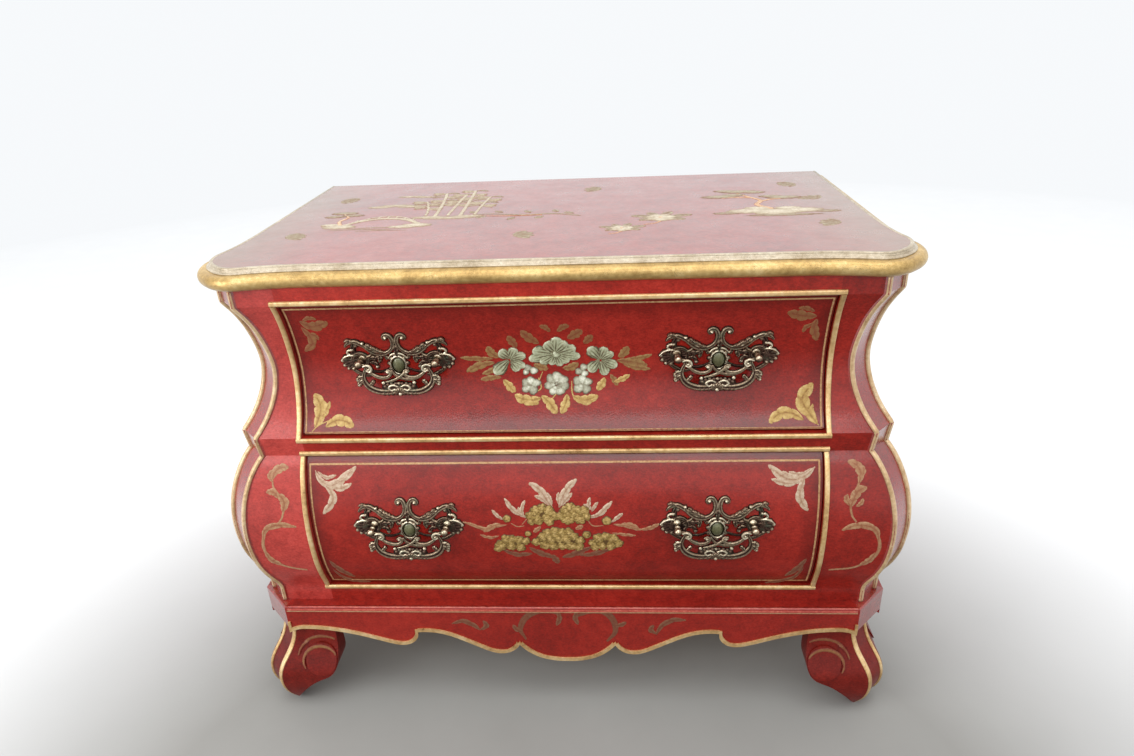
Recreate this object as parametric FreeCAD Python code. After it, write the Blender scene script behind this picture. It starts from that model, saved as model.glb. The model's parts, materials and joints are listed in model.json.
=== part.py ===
import FreeCAD, Part
import os
import math

V = FreeCAD.Vector

# ---------------------------------------------------------------- driving dimensions (mm)
Y_SHIFT = -231.6        # moves the frieze plane so that the origin is under the middle of the chest
HALF_OPEN = 363.0       # half width of both drawer openings
Z_TOP = 715.5           # upper face of the top board
Z_CARC = 688.0          # underside of the top board
Z_BASE = 187.0          # ledge of the plinth, carcass stands on it
OPEN_U = (468.6, 662.6) # upper drawer opening, bottom and top
OPEN_L = (216.5, 439.5) # lower drawer opening, bottom and top
POST_SUM = 418.5        # vertical plane x + y between stile and canted post
POST_W = 33.5           # canted post: step in x and in y across its face
POST_PROUD = 3.5        # post stands proud of the stile
SIDE_X = POST_SUM + POST_W   # end panel face at the frieze
T_FRONT = 22.0          # thickness of stiles and frieze rail
T_SIDE = 20.0           # thickness of the end panels
T_POST = 30.0
RAIL_DEPTH = 60.0
Y_BACK = 513.0          # rear face of the carcass
Y_TOPBACK = 523.0       # rear edge of the top board
BEAD_W = 7.0            # cock bead width
BEAD_H = 3.5            # cock bead projection
RECESS = 5.0            # drawer fronts lie this far behind the stiles
GAP = 1.5               # gap round the drawer fronts
SIDE_CLEAR = 1.2        # drawer side to guide
DRAWER_T = 12.0         # drawer side and back thickness
DRAWER_END = 467.0      # rear end of the drawer sides
PLINTH_Y = -34.5        # front face of the plinth
PLINTH_X = 482.0        # end face of the plinth
PLINTH_CANT = 434.0     # where the canted plinth corner starts
PLINTH_T = 22.0
Z_CORNER = 145.0        # underside of the canted plinth blocks
FOOT_CANT = 32.0        # canted face of the feet: step in x and in y across it
PULL_X = 216.0          # middle of each pull from the centre line
PULL_S = 52.7           # half spacing of the pull posts
PULL_Z = (573.5, 341.5) # hinge height of upper and lower bails
PULL_OUT = 22.0         # hinge axis in front of the drawer face
BALL_R = 6.5
PIN_R = 2.0
PIN_HOLE_R = 2.05
ROOT2 = math.sqrt(2.0)

# outward swell of front and ends, (height, projection)
LOW = [(210.0, 15.5), (218.0, 16.6), (226.5, 19.2), (240.0, 24.6), (256.0, 29.8), (274.0, 33.9),
       (295.0, 36.4), (315.0, 37.4), (335.0, 37.0), (358.0, 34.6), (380.0, 30.2), (400.0, 24.0),
       (419.0, 15.9), (430.0, 9.6), (439.5, 2.5)]
UPP = [(468.6, 5.5), (475.0, 0.9), (490.0, -8.6), (505.0, -15.8), (520.0, -21.3), (535.0, -25.2),
       (550.0, -27.6), (565.0, -28.4), (580.0, -27.5), (595.0, -25.4), (610.0, -22.5), (625.0, -18.7),
       (640.0, -13.6), (648.0, -10.3), (655.0, -7.0), (662.6, -3.5)]


def swell(z):
    """Projection of the bombe surface at height z (straight interpolation, for hidden uses)."""
    pts = [(Z_BASE, LOW[0][1])] + LOW + UPP + [(Z_CARC, UPP[-1][1])]
    for (z0, b0), (z1, b1) in zip(pts, pts[1:]):
        if z0 <= z <= z1:
            return b0 + (b1 - b0) * (z - z0) / (z1 - z0)
    return UPP[-1][1]


def spline(points, t0=None, t1=None):
    c = Part.BSplineCurve()
    if t0 is not None:
        c.interpolate(Points=points, InitialTangent=t0, FinalTangent=t1)
    else:
        c.interpolate(Points=points)
    return c.toShape()


def bombe_face(place, off, back, scale=1.0):
    """Face between the bombe curve (moved outward by off) and a straight line at back."""
    def P(h, z):
        return place(h * scale + off, z)
    B = lambda h, z: place(h, z)
    edges = []
    b0 = LOW[0][1]
    edges.append(Part.makeLine(P(b0, Z_BASE), P(b0, LOW[0][0])))
    edges.append(spline([P(b, z) for z, b in LOW]))
    edges.append(Part.makeLine(P(LOW[-1][1], LOW[-1][0]), P(UPP[0][1], UPP[0][0])))
    edges.append(spline([P(b, z) for z, b in UPP]))
    b1 = UPP[-1][1]
    edges.append(Part.makeLine(P(b1, UPP[-1][0]), P(b1, Z_CARC)))
    edges.append(Part.makeLine(P(b1, Z_CARC), B(back, Z_CARC)))
    edges.append(Part.makeLine(B(back, Z_CARC), B(back, Z_BASE)))
    edges.append(Part.makeLine(B(back, Z_BASE), P(b0, Z_BASE)))
    return Part.Face(Part.Wire(edges))


def front_region(off=0.0):
    """Everything behind the front surface, moved outward by off."""
    f = bombe_face(lambda h, z: V(-600.0, -h, z), off, -140.0)
    return f.extrude(V(1200.0, 0, 0))


def side_region(off=0.0):
    """Everything inside the right-hand end surface, moved outward by off."""
    f = bombe_face(lambda h, z: V(SIDE_X + h, -80.0, z), off, -140.0)
    return f.extrude(V(0, 640.0, 0))


def post_region(off=0.0):
    """Everything behind the canted face of the right-hand post."""
    u = V(1 / ROOT2, -1 / ROOT2, 0)
    v = V(1 / ROOT2, 1 / ROOT2, 0)
    o = V(POST_SUM, 0, 0)
    f = bombe_face(lambda h, z: o + u * h + V(0, 0, z), off, -140.0, ROOT2)
    return f.extrude(v * (POST_W * ROOT2))


def box(x0, x1, y0, y1, z0, z1):
    return Part.makeBox(x1 - x0, y1 - y0, z1 - z0, V(x0, y0, z0))


def plan(points, z0, z1):
    """Upright prism on a plan outline."""
    vs = [V(x, y, z0) for x, y in points]
    return Part.Face(Part.makePolygon(vs + [vs[0]])).extrude(V(0, 0, z1 - z0))


def elev(points, y0, y1):
    """Prism through the thickness of a board drawn in elevation (x, z)."""
    vs = [V(x, y0, z) for x, z in points]
    return Part.Face(Part.makePolygon(vs + [vs[0]])).extrude(V(0, y1 - y0, 0))


def mirror(s):
    return s.mirror(V(0, 0, 0), V(1, 0, 0))


def clean(s):
    """Only solids, so that each node is one or more closed solids."""
    sol = s.Solids
    if len(sol) == 1:
        return sol[0]
    return Part.makeCompound(sol)


def refine(s):
    """Joins faces that share one surface where that works, otherwise leaves the shape as it is."""
    try:
        r = s.removeSplitter()
        if r.isValid() and abs(r.Volume - s.Volume) < 1e-4 * abs(s.Volume) + 1e-3:
            return r
    except Exception:
        pass
    return s


nodes = {}


def add(name, *shapes):
    sol = []
    for s in shapes:
        sol += s.Solids
    sh = sol[0] if len(sol) == 1 else Part.makeCompound(sol)
    sh = sh.copy()
    sh.translate(V(0, Y_SHIFT, 0))
    nodes[name] = sh


# ---------------------------------------------------------------- shared regions
R0 = front_region(0.0)
RB = front_region(BEAD_H)
S0 = side_region(0.0)
P0 = post_region(POST_PROUD)

# ---------------------------------------------------------------- stiles and rails
def cyl_x(x0, x1, y, z, r):
    return Part.makeCylinder(r, x1 - x0, V(x0, y, z), V(1, 0, 0))


RT = R0.copy()
RT.translate(V(0, T_FRONT, 0))
RD = R0.copy()
RD.translate(V(0, RAIL_DEPTH, 0))
front_skin = R0.cut(RT)

stile = front_skin.common(plan([(HALF_OPEN, -60), (POST_SUM + 60, -60), (POST_SUM - 40, 40), (HALF_OPEN, 40)],
                               Z_BASE, Z_CARC))
tenons = {
    "frieze": box(HALF_OPEN, HALF_OPEN + 22, 10, 18, 668, 683),
    "mid": box(HALF_OPEN, HALF_OPEN + 22, 5, 13, 444, 463),
    "base": box(HALF_OPEN, HALF_OPEN + 22, -9, -1, 191, 212),
}
for t in tenons.values():
    stile = stile.cut(t)
add("stile_right", stile)
add("stile_left", mirror(stile))


def rail(z0, z1, skin, tenon):
    s = skin.common(box(-HALF_OPEN, HALF_OPEN, -70, 140, z0, z1))
    return refine(s.fuse(tenon).fuse(mirror(tenon)))


frieze = rail(OPEN_U[1], Z_CARC, front_skin, tenons["frieze"])
add("frieze_rail", frieze)
deep = R0.cut(RD)
GROOVE = (456.0, 461.0)          # dust panel
dust = box(-337, 337, 52, 479, *GROOVE)
mid = rail(OPEN_L[1], OPEN_U[0], deep, tenons["mid"]).cut(dust)
add("mid_rail", mid)
base = rail(Z_BASE, OPEN_L[0], deep, tenons["base"])
add("base_rail", base)

# ---------------------------------------------------------------- canted posts
PT = P0.copy()
PT.translate(V(-T_POST / ROOT2, T_POST / ROOT2, 0))
post = P0.cut(PT)
PR = P0.copy()
PR.translate(V(3.0 / ROOT2, -3.0 / ROOT2, 0))
raised = PR.cut(P0)
band = 7.0
vx = V(1 / ROOT2, 1 / ROOT2, 0)


def slab(a, b):
    """Upright slab between two planes x + y = const, given as distances across the post face."""
    s0 = POST_SUM + a * ROOT2
    s1 = POST_SUM + b * ROOT2
    return plan([(s0 + 80, -80), (s1 + 80, -80), (s1 - 120, 120), (s0 - 120, 120)], Z_BASE, Z_CARC)


def round_strip(s, r):
    """Rounds the two outer long arrises of a strip laid on the canted face."""
    o = V(POST_SUM, 0, 0)
    outer = []
    for e in s.Edges:
        m = e.valueAt((e.FirstParameter + e.LastParameter) / 2.0)
        proud = (m - o).dot(V(1 / ROOT2, -1 / ROOT2, 0)) - swell(m.z) * ROOT2 - POST_PROUD
        if e.BoundBox.ZLength > 2.0 and proud > 1.5:
            outer.append(e)
    n = s.makeFillet(r, outer)
    return n if n.isValid() else s


edge_bands = [round_strip(raised.common(slab(0, band)), 1.5),
              round_strip(raised.common(slab(POST_W * ROOT2 - band, POST_W * ROOT2)), 1.5)]
post = refine(post.fuse(edge_bands[0]).fuse(edge_bands[1]))
add("post_right", post)
add("post_left", mirror(post))

# ---------------------------------------------------------------- end panels and back
ST = S0.copy()
ST.translate(V(-T_SIDE, 0, 0))
S10 = S0.copy()
S10.translate(V(-10.0, 0, 0))
sum2 = POST_SUM + 2 * POST_W
panel = S0.cut(ST).common(plan([(sum2 + 80, -80), (sum2 + 80, Y_BACK), (300, Y_BACK), (300, sum2 - 300)], Z_BASE, Z_CARC))
rebate = S10.common(box(0, 600, 507, Y_BACK, Z_BASE, Z_CARC))
panel = panel.cut(rebate)
add("side_panel_right", panel)
add("side_panel_left", mirror(panel))
back_half = S10.common(box(0, 600, 507, Y_BACK, Z_BASE, Z_CARC)).fuse(box(0, 330, 507, Y_BACK, Z_BASE, Z_CARC))
back = refine(back_half.fuse(mirror(back_half)))
add("back_panel", back)

# ---------------------------------------------------------------- inner frame
rear = box(372, 402, 477, 507, Z_BASE, Z_CARC)
rail_mid = box(-372, 372, 475, 507, 447, 469.8).cut(dust)
rail_top = box(-372, 372, 485, 507, 657, Z_CARC)
add("rear_post_right", rear)
add("rear_post_left", mirror(rear))
add("rear_rail_mid", rail_mid)
add("rear_rail_top", rail_top)
add("dust_panel", dust)
RUN_U = OPEN_U[0] + 1.2
RUN_L = OPEN_L[0] + 1.2
run_u = box(333, 399, RAIL_DEPTH, 475, OPEN_L[1], RUN_U).cut(dust)
run_l = box(333, 399, RAIL_DEPTH, 475, Z_BASE, RUN_L)
add("runner_upper_right", run_u)
add("runner_upper_left", mirror(run_u))
add("runner_lower_right", run_l)
add("runner_lower_left", mirror(run_l))
GUIDE_X = HALF_OPEN - GAP + SIDE_CLEAR
gu = box(GUIDE_X, GUIDE_X + 18, RAIL_DEPTH, 475, RUN_U, RUN_U + 20)
gl = box(GUIDE_X, GUIDE_X + 18, RAIL_DEPTH, 475, RUN_L, RUN_L + 20)
add("drawer_guides", gu, mirror(gu), gl, mirror(gl))
kick = box(333, 372, 50, 477, 657, Z_CARC)
stop_u = box(340, 360, DRAWER_END, 475, RUN_U, RUN_U + 14)
stop_l = box(340, 360, DRAWER_END, 475, RUN_L, RUN_L + 14)
add("drawer_stops", stop_u, mirror(stop_u), stop_l, mirror(stop_l))

# ---------------------------------------------------------------- cock beads
bead_skin = RB.cut(R0)


def round_bead(s, r):
    """Rounds the outer long edges of a bead strip."""
    es = []
    longest = max(e.Length for e in s.Edges)
    for e in s.Edges:
        if e.Length > 0.6 * longest:
            es.append(e)
    return s, es


def bead_frame(zo):
    z0, z1 = zo
    out = []
    # horizontal strips: rounded section swept straight along x
    for (za, zb) in ((z0 - BEAD_W, z0), (z1, z1 + BEAD_W)):
        s = bead_skin.common(box(-HALF_OPEN - BEAD_W, HALF_OPEN + BEAD_W, -80, 80, za, zb))
        es = [e for e in s.Edges if abs(e.BoundBox.XLength) > 700]
        outer = []
        for e in es:
            y = e.BoundBox.YMin
            zz = e.BoundBox.ZMin
            inner_y = [f.BoundBox.YMin for f in es if abs(f.BoundBox.ZMin - zz) < 0.5]
            if y <= min(inner_y) + 1e-6:
                outer.append(e)
        s = s.makeFillet(2.4, outer)
        out.append(s)
    s = bead_skin.common(box(HALF_OPEN, HALF_OPEN + BEAD_W, -80, 80, z0, z1))
    sx = sorted(s.Faces, key=lambda f: f.Area, reverse=True)
    try:
        pick = []
        mids = {}
        for e in s.Edges:
            if e.BoundBox.ZLength > 2.0 and e.BoundBox.XLength < 0.01:
                mid_pt = e.valueAt((e.FirstParameter + e.LastParameter) / 2.0)
                pick.append((e, mid_pt))
        outer = []
        for e, m in pick:
            same = [k for (g, k) in pick if abs(k.x - m.x) < 0.1 and abs(k.z - m.z) < 6.0]
            if m.y <= min(k.y for k in same) + 1e-3:
                outer.append(e)
        sr = s.makeFillet(2.4, outer)
        if sr.isValid() and sr.Volume > 0.5 * s.Volume:
            s = sr
    except Exception as err:
        print("bead fillet left out:", err)
    out += [s, mirror(s)]
    return out


add("cock_bead_upper", *bead_frame(OPEN_U))
add("cock_bead_lower", *bead_frame(OPEN_L))

# ---------------------------------------------------------------- plinth: ledge, apron and corner blocks
k = math.tan(math.radians(22.5))
mit1 = (PLINTH_CANT - PLINTH_T * k, PLINTH_Y + PLINTH_T)
corner_y = PLINTH_Y + (PLINTH_X - PLINTH_CANT)
mit2 = (PLINTH_X - PLINTH_T, corner_y + PLINTH_T * k)
# lower edge of the front apron, right half from the middle outwards (x, z)
SC_A = [(0.0, 82.5), (25.0, 84.5), (46.0, 91.5), (61.0, 101.5), (74.0, 115.5)]
SC_B = [(74.0, 115.5), (84.5, 103.0), (100.0, 97.5), (115.0, 99.5), (137.0, 110.0), (160.0, 122.5),
        (184.0, 134.0), (206.0, 139.5), (231.0, 139.5)]
SC_C = [(231.0, 139.5), (234.0, 125.5), (244.0, 116.5), (256.0, 113.5), (272.0, 116.0), (304.0, 126.5),
        (338.0, 136.5), (375.0, 143.5), (408.0, 145.5)]
SC_D = [(408.0, 145.5), (422.0, 143.5), (434.0, 137.5)]


def scallop_edges(y, dz=0.0):
    e = []
    for part_pts in (SC_A, SC_B, SC_C, SC_D):
        e.append(spline([V(x, y, z + dz) for x, z in part_pts]))
    return e


def apron_face(y):
    right = scallop_edges(y)
    left = [mirror(s) for s in right]
    top = [Part.makeLine(V(PLINTH_CANT, y, SC_D[-1][1]), V(PLINTH_CANT, y, Z_BASE)),
           Part.makeLine(V(PLINTH_CANT, y, Z_BASE), V(-PLINTH_CANT, y, Z_BASE)),
           Part.makeLine(V(-PLINTH_CANT, y, Z_BASE), V(-PLINTH_CANT, y, SC_D[-1][1]))]
    w = Part.Wire(Part.__sortEdges__(right + left + top))
    return Part.Face(w)


apron = apron_face(PLINTH_Y).extrude(V(0, PLINTH_T, 0))
apron = apron.common(plan([(-PLINTH_CANT, PLINTH_Y), (PLINTH_CANT, PLINTH_Y), mit1, (-mit1[0], mit1[1])], 0, Z_BASE))


def ease_top(s, r, pick):
    es = [e for e in s.Edges if pick(e.BoundBox)]
    try:
        n = s.makeFillet(r, es)
        if n.isValid():
            return n
    except Exception as err:
        print("ease left out:", err)
    return s


apron = ease_top(apron, 3.0, lambda b: b.ZMin > Z_BASE - 0.01 and b.YMax < PLINTH_Y + 0.01 and b.XLength > 100)
add("apron_front", apron)
corner = plan([(PLINTH_CANT, PLINTH_Y), (PLINTH_X, corner_y), mit2, mit1], Z_CORNER, Z_BASE)
corner = ease_top(corner, 3.0, lambda b: b.ZMin > Z_BASE - 0.01 and b.XMin > PLINTH_CANT - 0.01 and b.XLength > 40 and b.YMax < corner_y + 0.01)
add("plinth_corner_right", corner)
add("plinth_corner_left", mirror(corner))
# end aprons: one shallow ogee each
END_A = [(corner_y, 136.5), (corner_y + 14, 142.0), (70.0, 144.5), (115.0, 139.5), (165.0, 124.5), (205.0, 114.5), (230.0, 115.5)]
END_B = [(230.0, 115.5), (240.0, 129.5), (262.0, 124.5), (285.0, 129.5), (295.0, 115.5)]
END_C = [(295.0, 115.5), (320.0, 114.5), (360.0, 124.5), (410.0, 139.5), (455.0, 144.5), (Y_BACK - 14, 142.0), (Y_BACK, 136.5)]
ends = [spline([V(PLINTH_X, y, z) for y, z in p]) for p in (END_A, END_B, END_C)]
ends += [Part.makeLine(V(PLINTH_X, Y_BACK, END_C[-1][1]), V(PLINTH_X, Y_BACK, Z_BASE)),
         Part.makeLine(V(PLINTH_X, Y_BACK, Z_BASE), V(PLINTH_X, corner_y, Z_BASE)),
         Part.makeLine(V(PLINTH_X, corner_y, Z_BASE), V(PLINTH_X, corner_y, END_A[0][1]))]
end = Part.Face(Part.Wire(Part.__sortEdges__(ends))).extrude(V(-PLINTH_T, 0, 0))
end = end.common(plan([(PLINTH_X, corner_y), (PLINTH_X, Y_BACK), (PLINTH_X - PLINTH_T, Y_BACK), mit2], 0, Z_BASE))
end = ease_top(end, 3.0, lambda b: b.ZMin > Z_BASE - 0.01 and b.XMin > PLINTH_X - 0.01 and b.YLength > 100)
add("apron_right", end)
add("apron_left", mirror(end))

# gilt bead along the scalloped edge: a band that follows the edge, proud of the apron face
skin_a = apron_face(PLINTH_Y).extrude(V(0, -2.2, 0))
core_a = skin_a
for dx, dz in ((0.0, 6.0), (4.2, 4.4), (-4.2, 4.4)):
    moved = apron_face(PLINTH_Y).extrude(V(0, -2.2, 0))
    moved.translate(V(dx, 0, dz))
    core_a = core_a.common(moved)
band_a = skin_a.cut(core_a).common(box(-PLINTH_CANT, PLINTH_CANT, -60, -20, 0.0, 158.0))
add("apron_bead", band_a)

# ---------------------------------------------------------------- bottom board
bb = plan([(-mit1[0], mit1[1]), mit1, mit2, (mit2[0], Y_BACK), (-mit2[0], Y_BACK), (-mit2[0], mit2[1])], Z_BASE - 12, Z_BASE)
add("bottom_board", bb)

# ---------------------------------------------------------------- feet
FOOT_C = [(0.0, 5.0), (12.0, 11.0), (26.0, 17.0), (43.0, 20.5), (60.0, 20.5), (72.0, 18.0), (86.0, 11.5), (106.0, 0.8), (126.0, -5.0), (151.0, -6.0)]


def foot_region(place, back):
    P = lambda h, z: place(h, z)
    edges = [spline([P(c, z) for z, c in FOOT_C]),
             Part.makeLine(P(FOOT_C[-1][1], 151.0), P(back, 151.0)),
             Part.makeLine(P(back, 151.0), P(back, 0.0)),
             Part.makeLine(P(back, 0.0), P(FOOT_C[0][1], 0.0))]
    return Part.Face(Part.Wire(edges))


fr = foot_region(lambda h, z: V(300.0, PLINTH_Y - h, z), -28.0).extrude(V(260, 0, 0))
# canted face: starts at the same arris as the plinth block and is narrower, this half of the foot
# ends at the mitre in the middle of it
u = V(1 / ROOT2, -1 / ROOT2, 0)
vv = V(1 / ROOT2, 1 / ROOT2, 0)
cm = V(PLINTH_CANT + FOOT_CANT / 2, PLINTH_Y + FOOT_CANT / 2, 0)
ca = foot_region(lambda h, z: cm + u * (h * ROOT2) - vv * 200 + V(0, 0, z), -130.0).extrude(vv * 200)
VC = (389.0, 91.0)
VR = 26.0
wing_out = [(368.0, 151.0), (365.0, 130.0), (363.4, 108.0), (363.0, 92.0), (364.8, 80.0), (370.5, 69.5), (380.0, 61.5),
            (392.0, 56.0), (405.0, 48.5), (417.0, 38.5), (428.0, 26.5), (437.0, 14.0), (444.5, 4.0), (448.5, 0.0)]
we = [spline([V(x, -80, z) for x, z in wing_out]),
      Part.makeLine(V(wing_out[-1][0], -80, 0), V(540.0, -80, 0)),
      Part.makeLine(V(540.0, -80, 0), V(540.0, -80, 151.0)),
      Part.makeLine(V(540.0, -80, 151.0), V(wing_out[0][0], -80, 151.0))]
wing_xz = Part.Face(Part.Wire(we)).extrude(V(0, 200, 0))
wing = fr.common(wing_xz).common(ca)
# raised volute on the wing
vol = Part.makeCylinder(VR - 1.5, 40.0, V(VC[0], -70.0, VC[1]), V(0, 1, 0))
fr3 = foot_region(lambda h, z: V(300.0, PLINTH_Y - h - 3.0, z), -20.0).extrude(V(260, 0, 0))
wing = refine(wing.fuse(fr3.common(vol)))
# second wing is the first one mirrored about the canted corner's middle plane
wing2 = wing.mirror(cm, vv)
foot = wing.fuse(wing2)
under = apron.fuse(corner).fuse(end)
keep = plan([(300, -90), (560, -90), (560, 200), (300, 200)], 0, 151.0)
foot = foot.common(keep)
# the corner block stands on the foot, the aprons are let into it
foot = foot.cut(box(300, 560, -90, 200, Z_CORNER, 160).common(plan([(PLINTH_CANT, PLINTH_Y - 40), (PLINTH_X + 40, corner_y), (PLINTH_X - 20, corner_y + 40), (PLINTH_CANT - 40, PLINTH_Y + 20)], 100, 200)))
foot = foot.cut(apron).cut(corner).cut(end)
sol = sorted(foot.Solids, key=lambda s: s.Volume)[-1]
foot = refine(sol)
add("foot_front_right", foot)
add("foot_front_left", mirror(foot))

# rear feet: one wing on the end, square across the back
FOOT_X = PLINTH_CANT + FOOT_CANT
REAR_STEP = Y_BACK - 24.0 - wing_out[-1][0]
rw = foot_region(lambda h, z: V(FOOT_X + h, 380.0, z), -28.0).extrude(V(0, Y_BACK - 380.0, 0))
ro = [spline([V(400, x + REAR_STEP, z) for x, z in wing_out]),
      Part.makeLine(V(400, wing_out[-1][0] + REAR_STEP, 0), V(400, Y_BACK, 0)),
      Part.makeLine(V(400, Y_BACK, 0), V(400, Y_BACK, 151.0)),
      Part.makeLine(V(400, Y_BACK, 151.0), V(400, wing_out[0][0] + REAR_STEP, 151.0))]
rear_foot = rw.common(Part.Face(Part.Wire(ro)).extrude(V(120, 0, 0)))
rvol = Part.makeCylinder(VR - 1.5, 80.0, V(440.0, VC[0] + REAR_STEP, VC[1]), V(1, 0, 0))
rw3 = foot_region(lambda h, z: V(FOOT_X + h + 3.0, 380.0, z), -20.0).extrude(V(0, Y_BACK - 380.0, 0))
rear_foot = rear_foot.fuse(rw3.common(rvol)).cut(end)
rear_foot = refine(sorted(rear_foot.Solids, key=lambda s: s.Volume)[-1])
add("foot_back_right", rear_foot)
add("foot_back_left", mirror(rear_foot))

# glue blocks inside the plinth corners
def tri(x, y, sx, sy, z0, z1, a=26.0):
    return plan([(x, y), (x + sx * a, y), (x, y + sy * a)], z0, z1)


gb = [tri(mit2[0], 200.0, -1, 1, 152.0, 175.0), tri(mit2[0], 330.0, -1, 1, 152.0, 175.0)]
gb += [box(-150 - 20, -150 + 20, mit1[1], mit1[1] + 18, 150.0, 175.0), box(130, 170, mit1[1], mit1[1] + 18, 150.0, 175.0)]
gb += [mirror(gb[0]), mirror(gb[1])]
add("glue_blocks", *gb)

# ---------------------------------------------------------------- top
TOP_FRONT = [(0.0, 15.2), (150.0, 15.2), (290.0, 15.2), (320.0, 15.0), (345.0, 14.0), (370.0, 11.6), (395.0, 7.2), (421.0, 1.0)]
TOP_SIDE = [(465.0, 43.5), (462.0, 60.0), (457.6, 78.0), (453.8, 98.0), (450.8, 125.0), (449.2, 155.0), (448.5, 190.0)]


def top_edges(z):
    fr_r = spline([V(x, y, z) for x, y in TOP_FRONT[2:]], V(1, 0, 0), V(26.0, -6.9, 0))
    flat = Part.makeLine(V(-290.0, 15.2, z), V(290.0, 15.2, z))
    cant = Part.makeLine(V(421.0, 1.0, z), V(465.0, 43.5, z))
    sd = spline([V(x, y, z) for x, y in TOP_SIDE], V(-2.6, 16.0, 0), V(0, 1, 0))
    st = Part.makeLine(V(448.5, 190.0, z), V(448.5, Y_TOPBACK, z))
    right = [fr_r, cant, sd, st]
    left = [mirror(e) for e in right]
    return left, flat, right


left, flat, right = top_edges(Z_CARC)
back_line = Part.makeLine(V(448.5, Y_TOPBACK, Z_CARC), V(-448.5, Y_TOPBACK, Z_CARC))
outline = Part.Wire(Part.__sortEdges__([flat] + right + [back_line] + left))
top = Part.Face(outline).extrude(V(0, 0, Z_TOP - Z_CARC))


def sweep(section, z):
    """Carries an upright section (offset, height) round the front and ends of the top."""
    l, f, r = top_edges(z)
    path = Part.Wire(Part.__sortEdges__([f] + r + l))
    # the section stands at the rear end of the right-hand side, offset to +x
    vs = [V(448.5 + o, Y_TOPBACK, zz) for o, zz in section]
    w = Part.makePolygon(vs + [vs[0]])
    vtx = path.OrderedVertexes[0].Point
    if abs(vtx.x - 448.5) > 1e-3:
        vs = [V(-448.5 - o, Y_TOPBACK, zz) for o, zz in section]
        w = Part.makePolygon(vs + [vs[0]])
    mk = Part.BRepOffsetAPI.MakePipeShell(path)
    mk.setBiNormalMode(V(0, 0, 1))
    mk.setTransitionMode(1)
    mk.add(w, False, False)
    mk.build()
    mk.makeSolid()
    return mk.shape()


arc = []
for i in range(0, 13):
    a = math.radians(90 - 15 * i)
    arc.append((10.0 + 10.0 * math.cos(a), 698.0 + 10.0 * math.sin(a)))
bull = sweep([(-3.0, 708.0)] + arc + [(-3.0, 688.0)], Z_CARC)
up = sweep([(-3.0, 715.4), (1.0, 715.4), (2.8, 714.6), (4.4, 712.9), (5.5, 710.7), (6.0, 708.0), (-3.0, 708.0)], 708.0)
bull = bull.cut(top)
up = up.cut(top)
add("top_bullnose", bull)
add("top_upper_moulding", up)

# screws that hold the top down through the kickers
screws = []
top_c = top
kick_l = mirror(kick)
for sx in (-1, 1):
    for y in (90.0, 262.0, 434.0):
        x = sx * 352.5
        shank = Part.makeCylinder(2.2, 44.0, V(x, y, 659.0), V(0, 0, 1))
        head = Part.makeCylinder(4.5, 2.5, V(x, y, 657.0), V(0, 0, 1))
        sc = refine(shank.fuse(head))
        screws.append(sc)
        top_c = top_c.cut(sc)
        kick = kick.cut(sc)
        kick_l = kick_l.cut(sc)
add("top_board", top_c)
add("kickers", kick, kick_l)
add("top_screws", *screws)


# ---------------------------------------------------------------- drawers
def turned_bead(p, d, r, length):
    """Small turned bead on the rod of a bail, centred on p and running along d."""
    d = d.normalize()
    q = p - d * (length / 2.0)
    c1 = Part.makeCone(2.6, r, length * 0.3, q, d)
    c2 = Part.makeCylinder(r, length * 0.4, q + d * (length * 0.3), d)
    c3 = Part.makeCone(r, 2.6, length * 0.3, q + d * (length * 0.7), d)
    return c1.fuse([c2, c3])


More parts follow.
